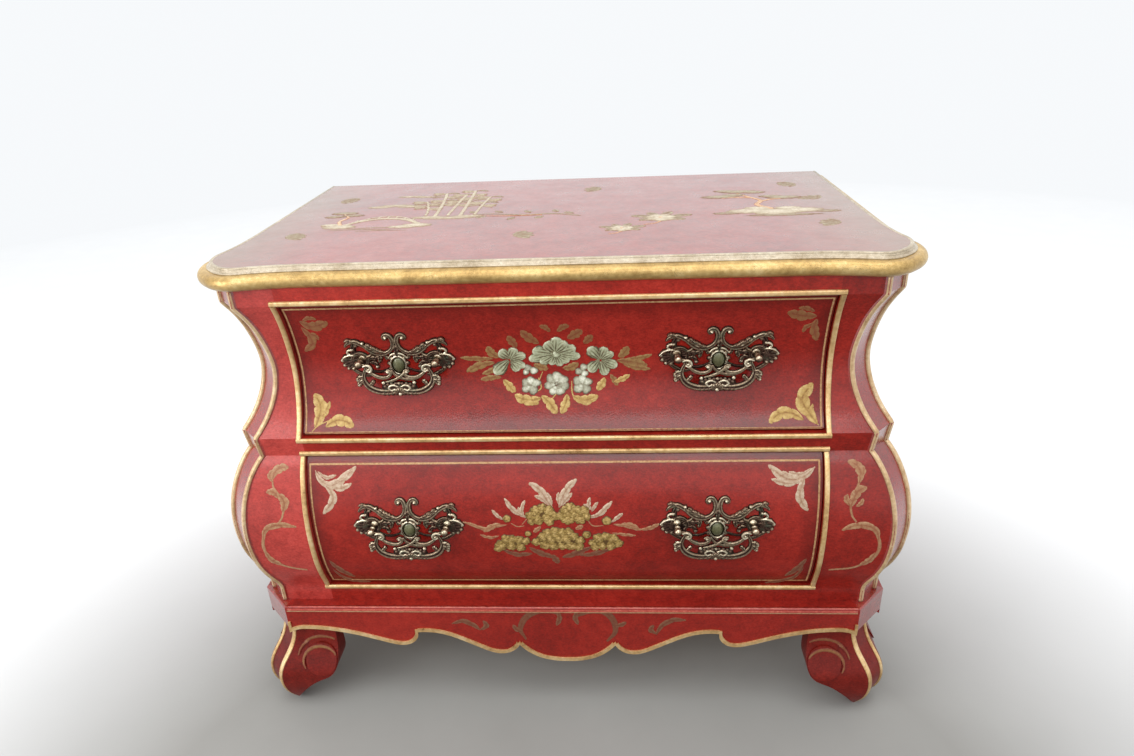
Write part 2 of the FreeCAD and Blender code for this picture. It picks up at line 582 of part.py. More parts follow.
def drawer(name, opening, run_z, side_top, pull_z):
    z0 = opening[0] + GAP
    z1 = opening[1] - GAP
    hx = HALF_OPEN - GAP
    face = R0.copy()
    face.translate(V(0, RECESS, 0))
    ymax = max(-swell(z0 + i * (z1 - z0) / 60.0) for i in range(61)) + RECESS
    yb = math.ceil(ymax + 13.5)
    front = face.common(box(-hx, hx, -80, yb, z0, z1))
    # eased front arris all round
    arris = []
    for e in front.Edges:
        bbx = e.BoundBox
        if bbx.YMax > yb - 0.5:
            continue
        if bbx.XLength > 100:
            arris.append(e)
    try:
        eased = front.makeFillet(2.0, arris)
        if eased.isValid() and eased.Volume > 0.98 * front.Volume:
            front = eased
        else:
            print(name, "front arris left square")
    except Exception as err:
        print(name, "front arris left square:", err)
    # drawer sides with dovetails let into the back of the front
    side = box(hx - DRAWER_T, hx, yb, DRAWER_END, run_z, side_top)
    n = 4
    pitch = (side_top - run_z) / n
    tails = []
    for i in range(n):
        c = run_z + pitch * (i + 0.5)
        h1, h2, d = pitch * 0.27, pitch * 0.36, 8.5
        pts = [V(hx - DRAWER_T, yb, c - h1), V(hx - DRAWER_T, yb - d, c - h2), V(hx - DRAWER_T, yb - d, c + h2), V(hx - DRAWER_T, yb, c + h1)]
        tails.append(Part.Face(Part.makePolygon(pts + [pts[0]])).extrude(V(DRAWER_T, 0, 0)))
    for t in tails:
        side = side.fuse(t)
        front = front.cut(t).cut(mirror(t))
    side = refine(side)
    bz = run_z + 6.0
    bottom = box(-(hx - DRAWER_T + 5), hx - DRAWER_T + 5, yb - 5, DRAWER_END, bz, bz + 6)
    back = box(-(hx - DRAWER_T + 4), hx - DRAWER_T + 4, DRAWER_END - 26, DRAWER_END - 14, bz + 6, side_top - 12)
    side = side.cut(bottom).cut(back)
    front = front.cut(bottom)
    # pulls
    plates, posts, nuts, bails = [], [], [], []
    zf = pull_z
    yf = -swell(zf) + RECESS
    yp = yf - PULL_OUT
    slab_out = face.copy()
    slab_out.translate(V(0, -2.5, 0))
    skin = slab_out.cut(face)
    half = [(0.0, 37.0), (6.0, 42.0), (14.0, 39.0), (16.5, 32.0), (24.0, 27.5), (36.0, 27.0), (48.0, 31.0), (60.0, 33.5),
            (68.0, 29.0), (63.0, 21.0), (63.5, 13.0), (70.0, 8.0), (79.0, 3.0), (72.0, -5.0), (62.0, -9.0), (51.0, -11.5),
            (42.0, -15.0), (32.0, -20.0), (20.0, -21.0), (9.0, -26.0), (0.0, -30.0)]
    for cx in (-PULL_X, PULL_X):
        ring = [V(cx + x, -100, zf + z) for x, z in half] + [V(cx - x, -100, zf + z) for x, z in half[-2:0:-1]]
        c = Part.BSplineCurve()
        c.interpolate(Points=ring, PeriodicFlag=True)
        pl = Part.Face(Part.Wire([c.toShape()])).extrude(V(0, 200, 0))
        for sx in (-1, 1):
            for hxp, hz, ra, rb in ((27.0, 14.0, 9.0, 6.5), (29.0, -6.0, 8.0, 6.0), (50.0, 18.0, 6.0, 5.0)):
                el = Part.Ellipse(V(cx + sx * hxp, -100, zf + hz), ra, rb)
                e = el.toShape()
                # ellipse lies in the elevation plane
                e.rotate(V(cx + sx * hxp, -100, zf + hz), V(1, 0, 0), 90)
                pl = pl.cut(Part.Face(Part.Wire([e])).extrude(V(0, 200, 0)))
        pl = skin.common(pl)
        for sx in (-1, 1):
            px = cx + sx * PULL_S
            hole = Part.makeCylinder(3.0, 300, V(px, -150, zf), V(0, 1, 0))
            pl = pl.cut(hole)
            front = front.cut(hole)
            # post: ball, neck, collar and shank in one turning
            ball = Part.makeSphere(BALL_R, V(px, yp, zf))
            neck = Part.makeCylinder(3.6, PULL_OUT - 2.5 - 4.0, V(px, yp + 4.0, zf), V(0, 1, 0))
            shank = Part.makeCylinder(3.0, (yb + 7.0) - (yf - 3.5), V(px, yf - 3.5, zf), V(0, 1, 0))
            # the collar sits in a flat seat sunk in the plate
            collar = Part.makeCylinder(6.0, 4.2, V(px, yf - 6.0, zf), V(0, 1, 0))
            pl = pl.cut(collar)
            post = ball.fuse(neck).fuse(shank).fuse(collar)
            post = refine(post)
            pin_hole = cyl_x(min(px, px - sx * 12.0), max(px, px - sx * 12.0), yp, zf, PIN_HOLE_R)
            pin_hole = pin_hole.fuse(cyl_x(min(px, px - sx * 12.0), max(px, px - sx * 12.0), yp, zf, PIN_HOLE_R))
            post = post.cut(pin_hole)
            posts.append(sorted(post.Solids, key=lambda s: s.Volume)[-1])
            hexa = Part.makePolygon([V(px + 7.0 * math.cos(math.radians(60 * i)), yb, zf + 7.0 * math.sin(math.radians(60 * i))) for i in range(7)])
            nut = Part.Face(hexa).extrude(V(0, 4.5, 0)).cut(Part.makeCylinder(3.0, 30, V(px, yb - 10, zf), V(0, 1, 0)))
            nuts.append(nut)
        plates.append(pl)
        # bail: swept loop with turned beads, its ends carry the hinge pins
        ctr = [(42.5, 0.0), (41.6, -6.0), (42.6, -11.5), (46.8, -17.0), (49.0, -23.5), (46.0, -31.0), (37.0, -37.5), (23.0, -42.5), (10.0, -45.8), (0.0, -46.5)]
        pts = [V(cx + x, yp, zf + z) for x, z in ctr] + [V(cx - x, yp, zf + z) for x, z in ctr[-2::-1]]
        cv = Part.BSplineCurve()
        cv.interpolate(Points=pts)
        tan = cv.tangent(cv.FirstParameter)[0]
        mk = Part.BRepOffsetAPI.MakePipeShell(Part.Wire([cv.toShape()]))
        mk.setBiNormalMode(V(0, 1, 0))
        mk.add(Part.Wire([Part.Circle(pts[0], tan, 2.8).toShape()]), False, False)
        mk.build()
        mk.makeSolid()
        s = mk.shape()
        for sx in (-1, 1):
            a = cx + sx * 42.5
            b_ = cx + sx * (PULL_S - 1.5)
            s = s.fuse(cyl_x(min(a, b_), max(a, b_), yp, zf, PIN_R))
            s = s.fuse(cyl_x(a - 3.2, a + 3.2, yp, zf, 3.4))
            s = s.fuse(turned_bead(V(cx + sx * 48.9, yp, zf - 23.5), V(0, 0, 1), 4.4, 8.0))
            s = s.fuse(turned_bead(V(cx + sx * 23.0, yp, zf - 42.5), V(13.0, 0, -sx * -3.3), 3.9, 7.0))
        s = s.fuse(turned_bead(V(cx, yp, zf - 46.5), V(1, 0, 0), 5.0, 9.0))
        bails.append(refine(s))
    add(name + "_front", front)
    add(name + "_side_right", side)
    add(name + "_side_left", mirror(side))
    add(name + "_back", back)
    add(name + "_bottom", bottom)
    add(name + "_plates", *plates)
    add(name + "_pull_posts", *posts)
    add(name + "_pull_nuts", *nuts)
    add("bail_" + name + "_left", bails[0])
    add("bail_" + name + "_right", bails[1])
    return yf, yp, yb


u_info = drawer("upper", OPEN_U, RUN_U, 655.0, PULL_Z[0])
l_info = drawer("lower", OPEN_L, RUN_L, 434.0, PULL_Z[1])

# ---------------------------------------------------------------- export
os.makedirs("parts", exist_ok=True)
for f in os.listdir("parts"):
    if f.endswith(".step") and f[:-5] not in nodes:
        os.remove(os.path.join("parts", f))
total = Part.makeCompound(list(nodes.values()))
bb_ = total.BoundBox
print("bbox", round(bb_.XMin, 2), round(bb_.XMax, 2), round(bb_.YMin, 2), round(bb_.YMax, 2), round(bb_.ZMin, 2), round(bb_.ZMax, 2))
print("pull face/pivot/back y:", [round(v + Y_SHIFT, 3) for v in u_info], [round(v + Y_SHIFT, 3) for v in l_info])
for name in sorted(nodes):
    s = nodes[name]
    s.exportStep("parts/" + name + ".step")
    ok = s.isValid() and all(q.isClosed() for q in s.Solids)
    print(name, len(s.Solids), "solids", round(s.Volume), "" if ok else "INVALID")
print(len(nodes), "nodes")
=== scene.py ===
import json
import math

import bmesh
import bpy
import numpy as np
from mathutils import Matrix, Vector
from mathutils.bvhtree import BVHTree


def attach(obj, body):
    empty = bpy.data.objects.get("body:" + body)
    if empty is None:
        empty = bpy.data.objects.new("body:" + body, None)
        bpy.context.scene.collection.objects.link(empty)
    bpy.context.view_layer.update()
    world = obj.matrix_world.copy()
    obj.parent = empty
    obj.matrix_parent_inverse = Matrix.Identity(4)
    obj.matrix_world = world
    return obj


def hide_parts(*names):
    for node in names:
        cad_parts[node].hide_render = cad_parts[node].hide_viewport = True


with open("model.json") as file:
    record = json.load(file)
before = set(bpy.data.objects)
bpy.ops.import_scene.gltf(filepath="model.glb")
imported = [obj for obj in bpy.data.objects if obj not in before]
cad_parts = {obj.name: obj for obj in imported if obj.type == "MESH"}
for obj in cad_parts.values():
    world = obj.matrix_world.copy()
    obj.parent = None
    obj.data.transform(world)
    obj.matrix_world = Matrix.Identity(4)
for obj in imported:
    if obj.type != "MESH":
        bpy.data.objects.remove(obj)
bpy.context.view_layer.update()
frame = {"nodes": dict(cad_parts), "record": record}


MM = 0.001
Y_SHIFT = -231.6
NODES = frame["nodes"]
scene = bpy.context.scene


def P(x, yc, z):
    """Point from construction millimetres, with y counted from the frieze plane, to metres."""
    return Vector((x * MM, (yc + Y_SHIFT) * MM, z * MM))


# ------------------------------------------------------------------ node materials
class Mat:
    """A node material that is read in object space, so it stays on its piece when the piece moves."""

    def __init__(self, name, **sockets):
        self.m = bpy.data.materials.new(name)
        self.m.use_nodes = True
        self.t = self.m.node_tree
        self.t.nodes.clear()
        self.out = self.t.nodes.new("ShaderNodeOutputMaterial")
        self.p = self.t.nodes.new("ShaderNodeBsdfPrincipled")
        self.t.links.new(self.p.outputs[0], self.out.inputs[0])
        self.co = self.t.nodes.new("ShaderNodeTexCoord").outputs["Object"]
        for k, v in sockets.items():
            self.p.inputs[k.replace("_", " ")].default_value = v

    def node(self, kind):
        return self.t.nodes.new("ShaderNode" + kind)

    def link(self, a, b):
        if hasattr(a, "is_linked") or hasattr(a, "links"):
            self.t.links.new(a, b)
        elif isinstance(a, (tuple, list)):
            b.default_value = tuple(a) + (1.0,) if len(a) == 3 and len(b.default_value) == 4 else a
        else:
            b.default_value = a

    def noise(self, scale, detail=2.0, rough=0.55, dist=0.0, vec=None, stretch=None):
        n = self.node("TexNoise")
        v = vec or self.co
        if stretch:
            g = self.node("Mapping")
            self.link(v, g.inputs["Vector"])
            g.inputs["Scale"].default_value = stretch
            v = g.outputs[0]
        self.link(v, n.inputs["Vector"])
        n.inputs["Scale"].default_value = scale
        n.inputs["Detail"].default_value = detail
        n.inputs["Roughness"].default_value = rough
        n.inputs["Distortion"].default_value = dist
        return n.outputs[0]

    def voronoi(self, scale, feature="F1"):
        n = self.node("TexVoronoi")
        n.feature = feature
        self.link(self.co, n.inputs["Vector"])
        n.inputs["Scale"].default_value = scale
        return n.outputs["Distance"]

    def ramp(self, fac, stops, mode="LINEAR"):
        r = self.node("ValToRGB")
        r.color_ramp.interpolation = mode
        e = r.color_ramp.elements
        while len(e) < len(stops):
            e.new(0.5)
        for s, (pos, col) in zip(e, stops):
            s.position = pos
            s.color = tuple(col) + (1.0,)
        self.link(fac, r.inputs[0])
        return r.outputs[0]

    def span(self, v, a, b, c=0.0, d=1.0):
        r = self.node("MapRange")
        r.clamp = True
        self.link(v, r.inputs[0])
        for i, x in enumerate((a, b, c, d)):
            r.inputs[i + 1].default_value = x
        return r.outputs[0]

    def math(self, op, a, b=0.0, clamp=False):
        n = self.node("Math")
        n.operation = op
        n.use_clamp = clamp
        self.link(a, n.inputs[0])
        self.link(b, n.inputs[1])
        return n.outputs[0]

    def mix(self, fac, a, b, mode="MIX"):
        n = self.node("Mix")
        n.data_type = "RGBA"
        n.blend_type = mode
        self.link(fac, n.inputs[0])
        self.link(a, n.inputs[6])
        self.link(b, n.inputs[7])
        return n.outputs[2]

    def xyz(self):
        s = self.node("SeparateXYZ")
        self.link(self.co, s.inputs[0])
        return s.outputs[0], s.outputs[1], s.outputs[2]

    def attribute(self, name):
        a = self.node("Attribute")
        a.attribute_type = "GEOMETRY"
        a.attribute_name = name
        return a.outputs["Fac"]

    def up(self):
        """How far the surface faces up, from -1 to 1."""
        g = self.node("NewGeometry")
        s = self.node("SeparateXYZ")
        self.link(g.outputs["Normal"], s.inputs[0])
        return s.outputs[2]

    def bump(self, height, strength, distance, normal=None):
        b = self.node("Bump")
        self.link(height, b.inputs["Height"])
        b.inputs["Strength"].default_value = strength
        b.inputs["Distance"].default_value = distance
        if normal is not None:
            self.link(normal, b.inputs["Normal"])
        return b.outputs[0]

    def set(self, **kw):
        for k, v in kw.items():
            self.link(v, self.p.inputs[k.replace("_", " ")])
        return self


def lacquer(name, dark, mid, bright, field=None, rim=0.6, gloss=(0.30, 0.46), coat=1.0, spec=0.05,
            edge=None, wide=0.030, coat_facing_down=0.30):
    """Red lacquer: cloudy glaze, fine pebbled skin and a clear coat. field is (x half width, z low, z high) in
    metres of a panel painted darker towards its edges: painted shade along the recessed edges of the drawer fronts,
    greyed worn ends on the top."""
    m = Mat(name, Coat_Roughness=0.20, Coat_IOR=1.5, Specular_IOR_Level=spec)
    # the clear coat thins on faces that turn down, so they reflect less: held-back reflection set by how the face is
    # turned
    m.set(Coat_Weight=m.span(m.up(), -0.12, 0.32, coat_facing_down, coat))
    big = m.noise(5.5, 3.0, 0.5, 0.3)
    mid_n = m.noise(60.0, 5.0, 0.68)
    fine = m.noise(420.0, 3.0, 0.6, stretch=(0.6, 0.6, 1.0))
    t = m.math("ADD", m.math("MULTIPLY", big, 0.30), m.math("ADD", m.math("MULTIPLY", mid_n, 0.34), m.math("MULTIPLY", fine, 0.36)))
    col = m.ramp(t, [(0.38, dark), (0.50, mid), (0.63, bright)])
    dots = m.span(m.noise(1150.0, 1.0, 0.5), 0.60, 0.72)
    col = m.mix(m.math("MULTIPLY", dots, 0.45), col, tuple(c * 0.30 for c in dark))
    # painted shade: the drawer fronts darken towards the beads of their openings; on the top the same mix gives its
    # greyed, worn ends
    if field:
        x, y, z = m.xyz()
        ex = m.math("SUBTRACT", field[0], m.math("ABSOLUTE", x))
        e = m.math("MINIMUM", ex, m.math("MINIMUM", m.math("SUBTRACT", z, field[1]), m.math("SUBTRACT", field[2], z)))
        wob = m.math("MULTIPLY", m.math("SUBTRACT", m.noise(0.66 / wide, 4.0, 0.65), 0.5), wide)
        shade = m.span(m.math("ADD", e, wob), 0.0, wide, rim, 0.0)
        col = m.mix(shade, col, edge or tuple(c * 0.22 for c in mid))
    m.set(Base_Color=col, Roughness=m.span(m.noise(26.0, 3.0), 0.3, 0.7, gloss[0], gloss[1]))
    peb = m.math("ADD", m.math("MULTIPLY", m.noise(430.0, 2.0, 0.5), 0.8), m.math("MULTIPLY", m.noise(150.0, 2.0), 0.3))
    skin = m.bump(peb, 0.30, 0.0012)
    m.set(Normal=skin)
    m.link(m.bump(m.noise(430.0, 2.0, 0.5), 0.16, 0.0012), m.p.inputs["Coat Normal"])
    return m.m


def gilt(name, deep, mid, bright, antique=0.55, rough=(0.26, 0.46), metal=0.78, under=0.55):
    """Gilt moulding: gold over dark with specks of olive antiquing, and painted shade darkening the faces that turn
    down.
    """
    m = Mat(name, Metallic=metal, Specular_IOR_Level=0.6, Coat_Weight=0.18, Coat_Roughness=0.15)
    t = m.math("ADD", m.math("MULTIPLY", m.noise(24.0, 5.0, 0.65), 0.6), m.math("MULTIPLY", m.noise(210.0, 4.0, 0.6), 0.4))
    col = m.ramp(t, [(0.34, deep), (0.50, mid), (0.66, bright)])
    up = m.up()
    # painted shade: faces that turn down are mixed towards the same dark olive as the antiquing specks, by as much as
    # under
    low = m.span(up, -0.9, 0.55, under, 0.0)
    spk = m.span(m.noise(1000.0, 3.0, 0.6), 0.47, 0.66)
    wide = m.span(m.noise(55.0, 4.0, 0.7), 0.42, 0.68, 0.35, 1.0)
    f = m.math("MULTIPLY", m.math("MULTIPLY", spk, wide), antique)
    f = m.math("MAXIMUM", f, m.math("MULTIPLY", low, m.span(m.noise(420.0, 3.0, 0.6), 0.25, 0.6, 0.55, 1.0)))
    col = m.mix(f, col, (0.085, 0.055, 0.020))
    m.set(Base_Color=col, Roughness=m.span(t, 0.35, 0.7, rough[0], rough[1]))
    m.set(Normal=m.bump(m.math("ADD", m.noise(620.0, 3.0, 0.6), m.noise(130.0, 3.0)), 0.22, 0.0008))
    return m.m


def bare_wood(name, light, dark, grain=(1.0, 14.0, 14.0)):
    m = Mat(name, Specular_IOR_Level=0.35)
    g = m.noise(9.0, 6.0, 0.65, 0.9, stretch=grain)
    f = m.noise(60.0, 3.0, 0.6, 0.2, stretch=grain)
    t = m.math("ADD", m.math("MULTIPLY", g, 0.65), m.math("MULTIPLY", f, 0.35))
    col = m.ramp(t, [(0.34, dark), (0.52, light), (0.68, tuple(min(1.0, c * 1.18) for c in light))])
    pores = m.span(m.noise(240.0, 2.0, 0.5, stretch=grain), 0.56, 0.70)
    col = m.mix(m.math("MULTIPLY", pores, 0.4), col, tuple(c * 0.5 for c in dark))
    m.set(Base_Color=col, Roughness=m.span(f, 0.3, 0.7, 0.55, 0.78), Normal=m.bump(t, 0.25, 0.0008))
    return m.m


def steel(name):
    m = Mat(name, Metallic=1.0)
    m.set(Base_Color=m.ramp(m.noise(300.0, 4.0, 0.6), [(0.3, (0.30, 0.30, 0.31)), (0.7, (0.62, 0.62, 0.60))]),
          Roughness=m.span(m.noise(90.0, 3.0), 0.3, 0.7, 0.28, 0.5), Normal=m.bump(m.noise(700.0, 2.0), 0.15, 0.0004))
    return m.m


def brass(name, tone=True):
    """Cast pull: silvery old brass on the high places, brown-black patina in the low ones; the turned pieces, which
    carry no tone, are painted light on faces that turn up and painted shade on faces that turn down.
    """
    m = Mat(name, Metallic=1.0, Specular_IOR_Level=0.5)
    n = m.noise(420.0, 4.0, 0.6)
    # with no tone attribute the tone follows which way the face turns: painted light on top, painted shade underneath
    t = m.attribute("tone") if tone else m.span(m.up(), -0.9, 0.7, 0.30, 0.9)
    t = m.math("ADD", t, m.math("MULTIPLY", m.math("SUBTRACT", n, 0.5), 0.55))
    col = m.ramp(t, [(0.28, (0.035, 0.018, 0.015)), (0.55, (0.115, 0.068, 0.050)), (0.78, (0.31, 0.235, 0.155)), (1.0, (0.78, 0.70, 0.53))])
    verd = m.math("MULTIPLY", m.span(m.noise(130.0, 3.0, 0.6), 0.54, 0.66), 0.35)
    col = m.mix(verd, col, (0.10, 0.15, 0.10))
    m.set(Base_Color=col, Roughness=m.span(t, 0.2, 1.0, 0.52, 0.22), Normal=m.bump(m.noise(900.0, 3.0, 0.6), 0.2, 0.0006))
    return m.m


RED_DARK, RED_MID, RED_BRIGHT = (0.150, 0.0080, 0.0045), (0.245, 0.0120, 0.0070), (0.350, 0.0210, 0.0120)
M_RED = lacquer("lacquer_red", RED_DARK, RED_MID, RED_BRIGHT)
M_UP = lacquer("lacquer_upper_drawer", RED_DARK, RED_MID, RED_BRIGHT, field=(0.3615, 0.4701, 0.6611))
M_LO = lacquer("lacquer_lower_drawer", RED_DARK, RED_MID, RED_BRIGHT, field=(0.3615, 0.2180, 0.4380))
M_TOP = lacquer("lacquer_top", (0.15, 0.011, 0.007), (0.25, 0.020, 0.012), (0.34, 0.040, 0.026), field=(0.44, -5.0, 5.0), rim=0.60,
                gloss=(0.26, 0.40), coat=1.0, spec=0.6, edge=(0.20, 0.15, 0.090), wide=0.13, coat_facing_down=1.0)
M_POST = lacquer("lacquer_corner", RED_DARK, RED_MID, RED_BRIGHT, gloss=(0.22, 0.34), coat=1.0, spec=0.6, coat_facing_down=1.0)
# painted light: the left stile's lacquer is a lighter copy of the red, for the light falling on that side
M_STILE_LIT = lacquer("lacquer_left_stile", (0.24, 0.020, 0.015), (0.38, 0.034, 0.026), (0.50, 0.056, 0.044), coat_facing_down=0.6)
# painted light: the frieze's lacquer is a lighter copy of the red
M_FRIEZE_LIT = lacquer("lacquer_frieze", (0.19, 0.011, 0.006), (0.31, 0.017, 0.010), (0.43, 0.030, 0.018))
# painted shade: the front feet's lacquer is a darker, duller copy of the red, for the shade low down by the floor
M_FOOT_SHADED = lacquer("lacquer_foot", (0.085, 0.0055, 0.0030), (0.140, 0.0085, 0.0050), (0.200, 0.0150, 0.0090), coat=0.35, coat_facing_down=0.25)
# painted sheen: a lighter copy of the red for the lip of the plinth
M_LIP_SHEEN = lacquer("lacquer_lip_sheen", (0.24, 0.020, 0.013), (0.38, 0.050, 0.034), (0.52, 0.13, 0.085))
M_GILT = gilt("gilt_moulding", (0.36, 0.215, 0.060), (0.60, 0.400, 0.140), (0.84, 0.63, 0.29), antique=0.85, rough=(0.34, 0.50), metal=0.60, under=0.55)
M_EDGE = gilt("gilt_corner", (0.40, 0.235, 0.105), (0.66, 0.450, 0.240), (0.84, 0.66, 0.42), antique=0.5, metal=0.35, under=0.45)
M_BEAD = gilt("gilt_bead", (0.42, 0.220, 0.075), (0.76, 0.495, 0.215), (0.96, 0.74, 0.42), antique=0.5, metal=0.45, under=0.72)
M_PALE = gilt("gilt_pale", (0.30, 0.225, 0.13), (0.50, 0.42, 0.30), (0.68, 0.62, 0.49), antique=0.75, metal=0.25, under=0.40)
M_WOOD = bare_wood("wood_bare", (0.52, 0.34, 0.17), (0.30, 0.17, 0.075))
M_BACK = bare_wood("wood_back", (0.36, 0.21, 0.10), (0.19, 0.10, 0.045), grain=(12.0, 12.0, 1.0))
M_STEEL = steel("steel_zinc")
M_BRASS = brass("brass_cast")
M_BRASS_PLAIN = brass("brass_turned", tone=False)

FINISH = {
    "upper_front": M_UP, "lower_front": M_LO, "top_board": M_TOP, "top_upper_moulding": M_PALE, "top_bullnose": M_GILT,
    "back_panel": M_BACK, "post_left": M_POST, "post_right": M_POST, "plinth_corner_left": M_POST, "plinth_corner_right": M_POST,
    "stile_left": M_STILE_LIT, "frieze_rail": M_FRIEZE_LIT, "foot_front_left": M_FOOT_SHADED, "foot_front_right": M_FOOT_SHADED,
}
SLOT_FINISH = {"lacquer": M_RED, "gilt": M_BEAD, "hardware": M_BRASS_PLAIN, "bare_wood": M_WOOD, "steel": M_STEEL}
for part in frame["record"]["subparts"]:
    o = NODES[part["node"]]
    o.data.materials.clear()
    o.data.materials.append(FINISH.get(part["node"], SLOT_FINISH[part["material_slot"]]))


# Ornament outlines in mm: (x, z) points along each shape and its half width.
UP = {
    'leaf_gold': [
        ([(-23, 513), (-37, 510), (-50, 512), (-60, 518)], 6.9),
        ([(-23, 516), (-13, 508), (-7, 500), (-1, 493)], 6.9), ([(13, 518), (12, 509), (8, 500), (4, 493)], 6.3),
        ([(21, 515), (32, 510), (42, 510), (56, 515)], 6.6), ([(-75, 539), (-69, 532), (-64, 526), (-58, 522)], 5.8),
        ([(65, 540), (63, 533), (59, 528), (55, 522)], 5.5), ([(77, 533), (89, 537), (100, 543)], 4.1),
        ([(-49, 510), (-37, 507), (-26, 506)], 3.4), ([(26, 511), (33, 508), (38, 504)], 3.2),
    ],
    'leaf_olive': [
        ([(-77, 542), (-90, 542), (-107, 539)], 4.1), ([(-79, 571), (-89, 579), (-93, 589)], 6.3),
        ([(-85, 564), (-103, 561), (-126, 551)], 5.8), ([(-86, 570), (-109, 570), (-133, 572)], 3.9),
        ([(84, 569), (92, 575), (98, 585)], 6.3), ([(82, 564), (102, 562), (124, 556)], 6.1),
        ([(100, 567), (116, 568), (130, 572)], 3.6), ([(89, 560), (106, 554), (128, 551)], 4.1),
        ([(-32, 560), (-21, 556), (-12, 553)], 5.5), ([(8, 554), (19, 555), (30, 561)], 5.5),
        ([(-77, 559), (-93, 551), (-104, 547)], 4.1), ([(73, 544), (78, 537), (83, 528)], 4.1),
    ],
    'leaf_faint': [
        ([(-53, 586), (-59, 596), (-64, 605)], 6.1), ([(-22, 592), (-35, 601), (-46, 613)], 6.9),
        ([(-6, 610), (-12, 617), (-20, 620)], 4.4), ([(3, 610), (12, 618), (20, 619)], 4.7),
        ([(16, 599), (26, 605), (37, 612)], 6.9), ([(38, 591), (44, 597), (50, 604)], 5.8),
    ],
    'stem': [
        ([(-26, 540), (-23, 526), (-34, 520)], 1.1), ([(20, 535), (20, 521), (23, 510)], 1.2),
        ([(-2, 518), (-8, 512)], 1.0), ([(-20, 549), (-25, 537)], 0.8),
    ],
    'petal_c': [
        ([(-1, 578), (-13, 593)], 10.3), ([(-1, 578), (2, 601)], 9.0), ([(-1, 578), (14, 594)], 9.0),
        ([(1, 576), (26, 585)], 9.0), ([(1, 576), (32, 571)], 7.6), ([(-4, 576), (-31, 581)], 9.7),
        ([(-4, 575), (-37, 568)], 8.3), ([(-3, 573), (-22, 563)], 7.2), ([(-2, 573), (-8, 560)], 6.9),
        ([(0, 573), (6, 558)], 6.9), ([(1, 573), (17, 564)], 6.9),
    ],
    'petal_l': [
        ([(-64, 570), (-77, 581)], 9.0), ([(-64, 570), (-56, 585)], 8.0), ([(-64, 568), (-43, 575)], 7.7),
        ([(-66, 567), (-86, 548)], 9.7), ([(-63, 565), (-53, 552)], 7.7), ([(-63, 567), (-44, 557)], 6.2),
    ],
    'petal_r': [
        ([(60, 566), (45, 584)], 9.4), ([(60, 568), (67, 584)], 8.0), ([(61, 566), (77, 576)], 6.9),
        ([(58, 565), (45, 549)], 8.8), ([(61, 563), (67, 544)], 8.3), ([(62, 565), (82, 556)], 7.7),
    ],
    'bud': [
        ([(-40, 555)], 5.5), ([(-32, 551)], 5.8), ([(-43, 549)], 4.4), ([(37, 555)], 5.5), ([(30, 549)], 5.2),
        ([(38, 546)], 5.2),
    ],
    'petal_w1': [
        ([(-37, 531), (-48, 535)], 6.3), ([(-37, 531), (-37, 541)], 5.8), ([(-37, 531), (-25, 535)], 6.3),
        ([(-37, 531), (-47, 522)], 6.1), ([(-37, 531), (-32, 520)], 6.9),
    ],
    'petal_w2': [
        ([(-1, 532), (-14, 543)], 6.9), ([(-1, 532), (0, 549)], 6.9), ([(-1, 532), (13, 541)], 6.9),
        ([(-1, 532), (-18, 528)], 6.3), ([(-1, 532), (16, 527)], 6.9), ([(-1, 530), (-9, 518)], 6.3),
        ([(-1, 530), (6, 518)], 6.9),
    ],
    'petal_w3': [
        ([(35, 531), (23, 538)], 6.3), ([(35, 531), (34, 543)], 5.8), ([(35, 531), (46, 536)], 6.3),
        ([(35, 531), (26, 521)], 6.9), ([(35, 531), (43, 520)], 6.6),
    ],
    'bl_gold': [
        ([(-345, 479), (-339, 493), (-337, 507), (-345, 523)], 9.6), ([(-340, 484), (-331, 498), (-323, 512)], 4.6),
        ([(-330, 480), (-317, 487), (-303, 487), (-289, 480)], 7.6),
        ([(353, 477), (337, 497), (334, 510), (347, 528)], 9.8), ([(345, 487), (347, 501)], 2.5),
        ([(335, 482), (318, 490), (302, 489), (288, 479)], 7.6),
    ],
    'bl_stem': [
        ([(-349, 475), (-340, 482), (-324, 488)], 1.0), ([(354, 476), (344, 486), (332, 493)], 1.0),
    ],
    'tl_faint': [
        ([(-343, 635), (-327, 626), (-304, 633)], 8.0), ([(-338, 636), (-328, 640), (-318, 638)], 3.6),
        ([(-343, 626), (-335, 610), (-335, 598), (-348, 586)], 6.0), ([(-338, 615), (-328, 612), (-324, 604)], 3.4),
        ([(342, 627), (324, 628), (303, 634)], 8.0), ([(338, 634), (326, 640), (316, 640)], 3.6),
        ([(342, 623), (341, 608), (347, 589)], 6.2), ([(340, 616), (330, 610), (327, 602)], 3.4),
    ],
}

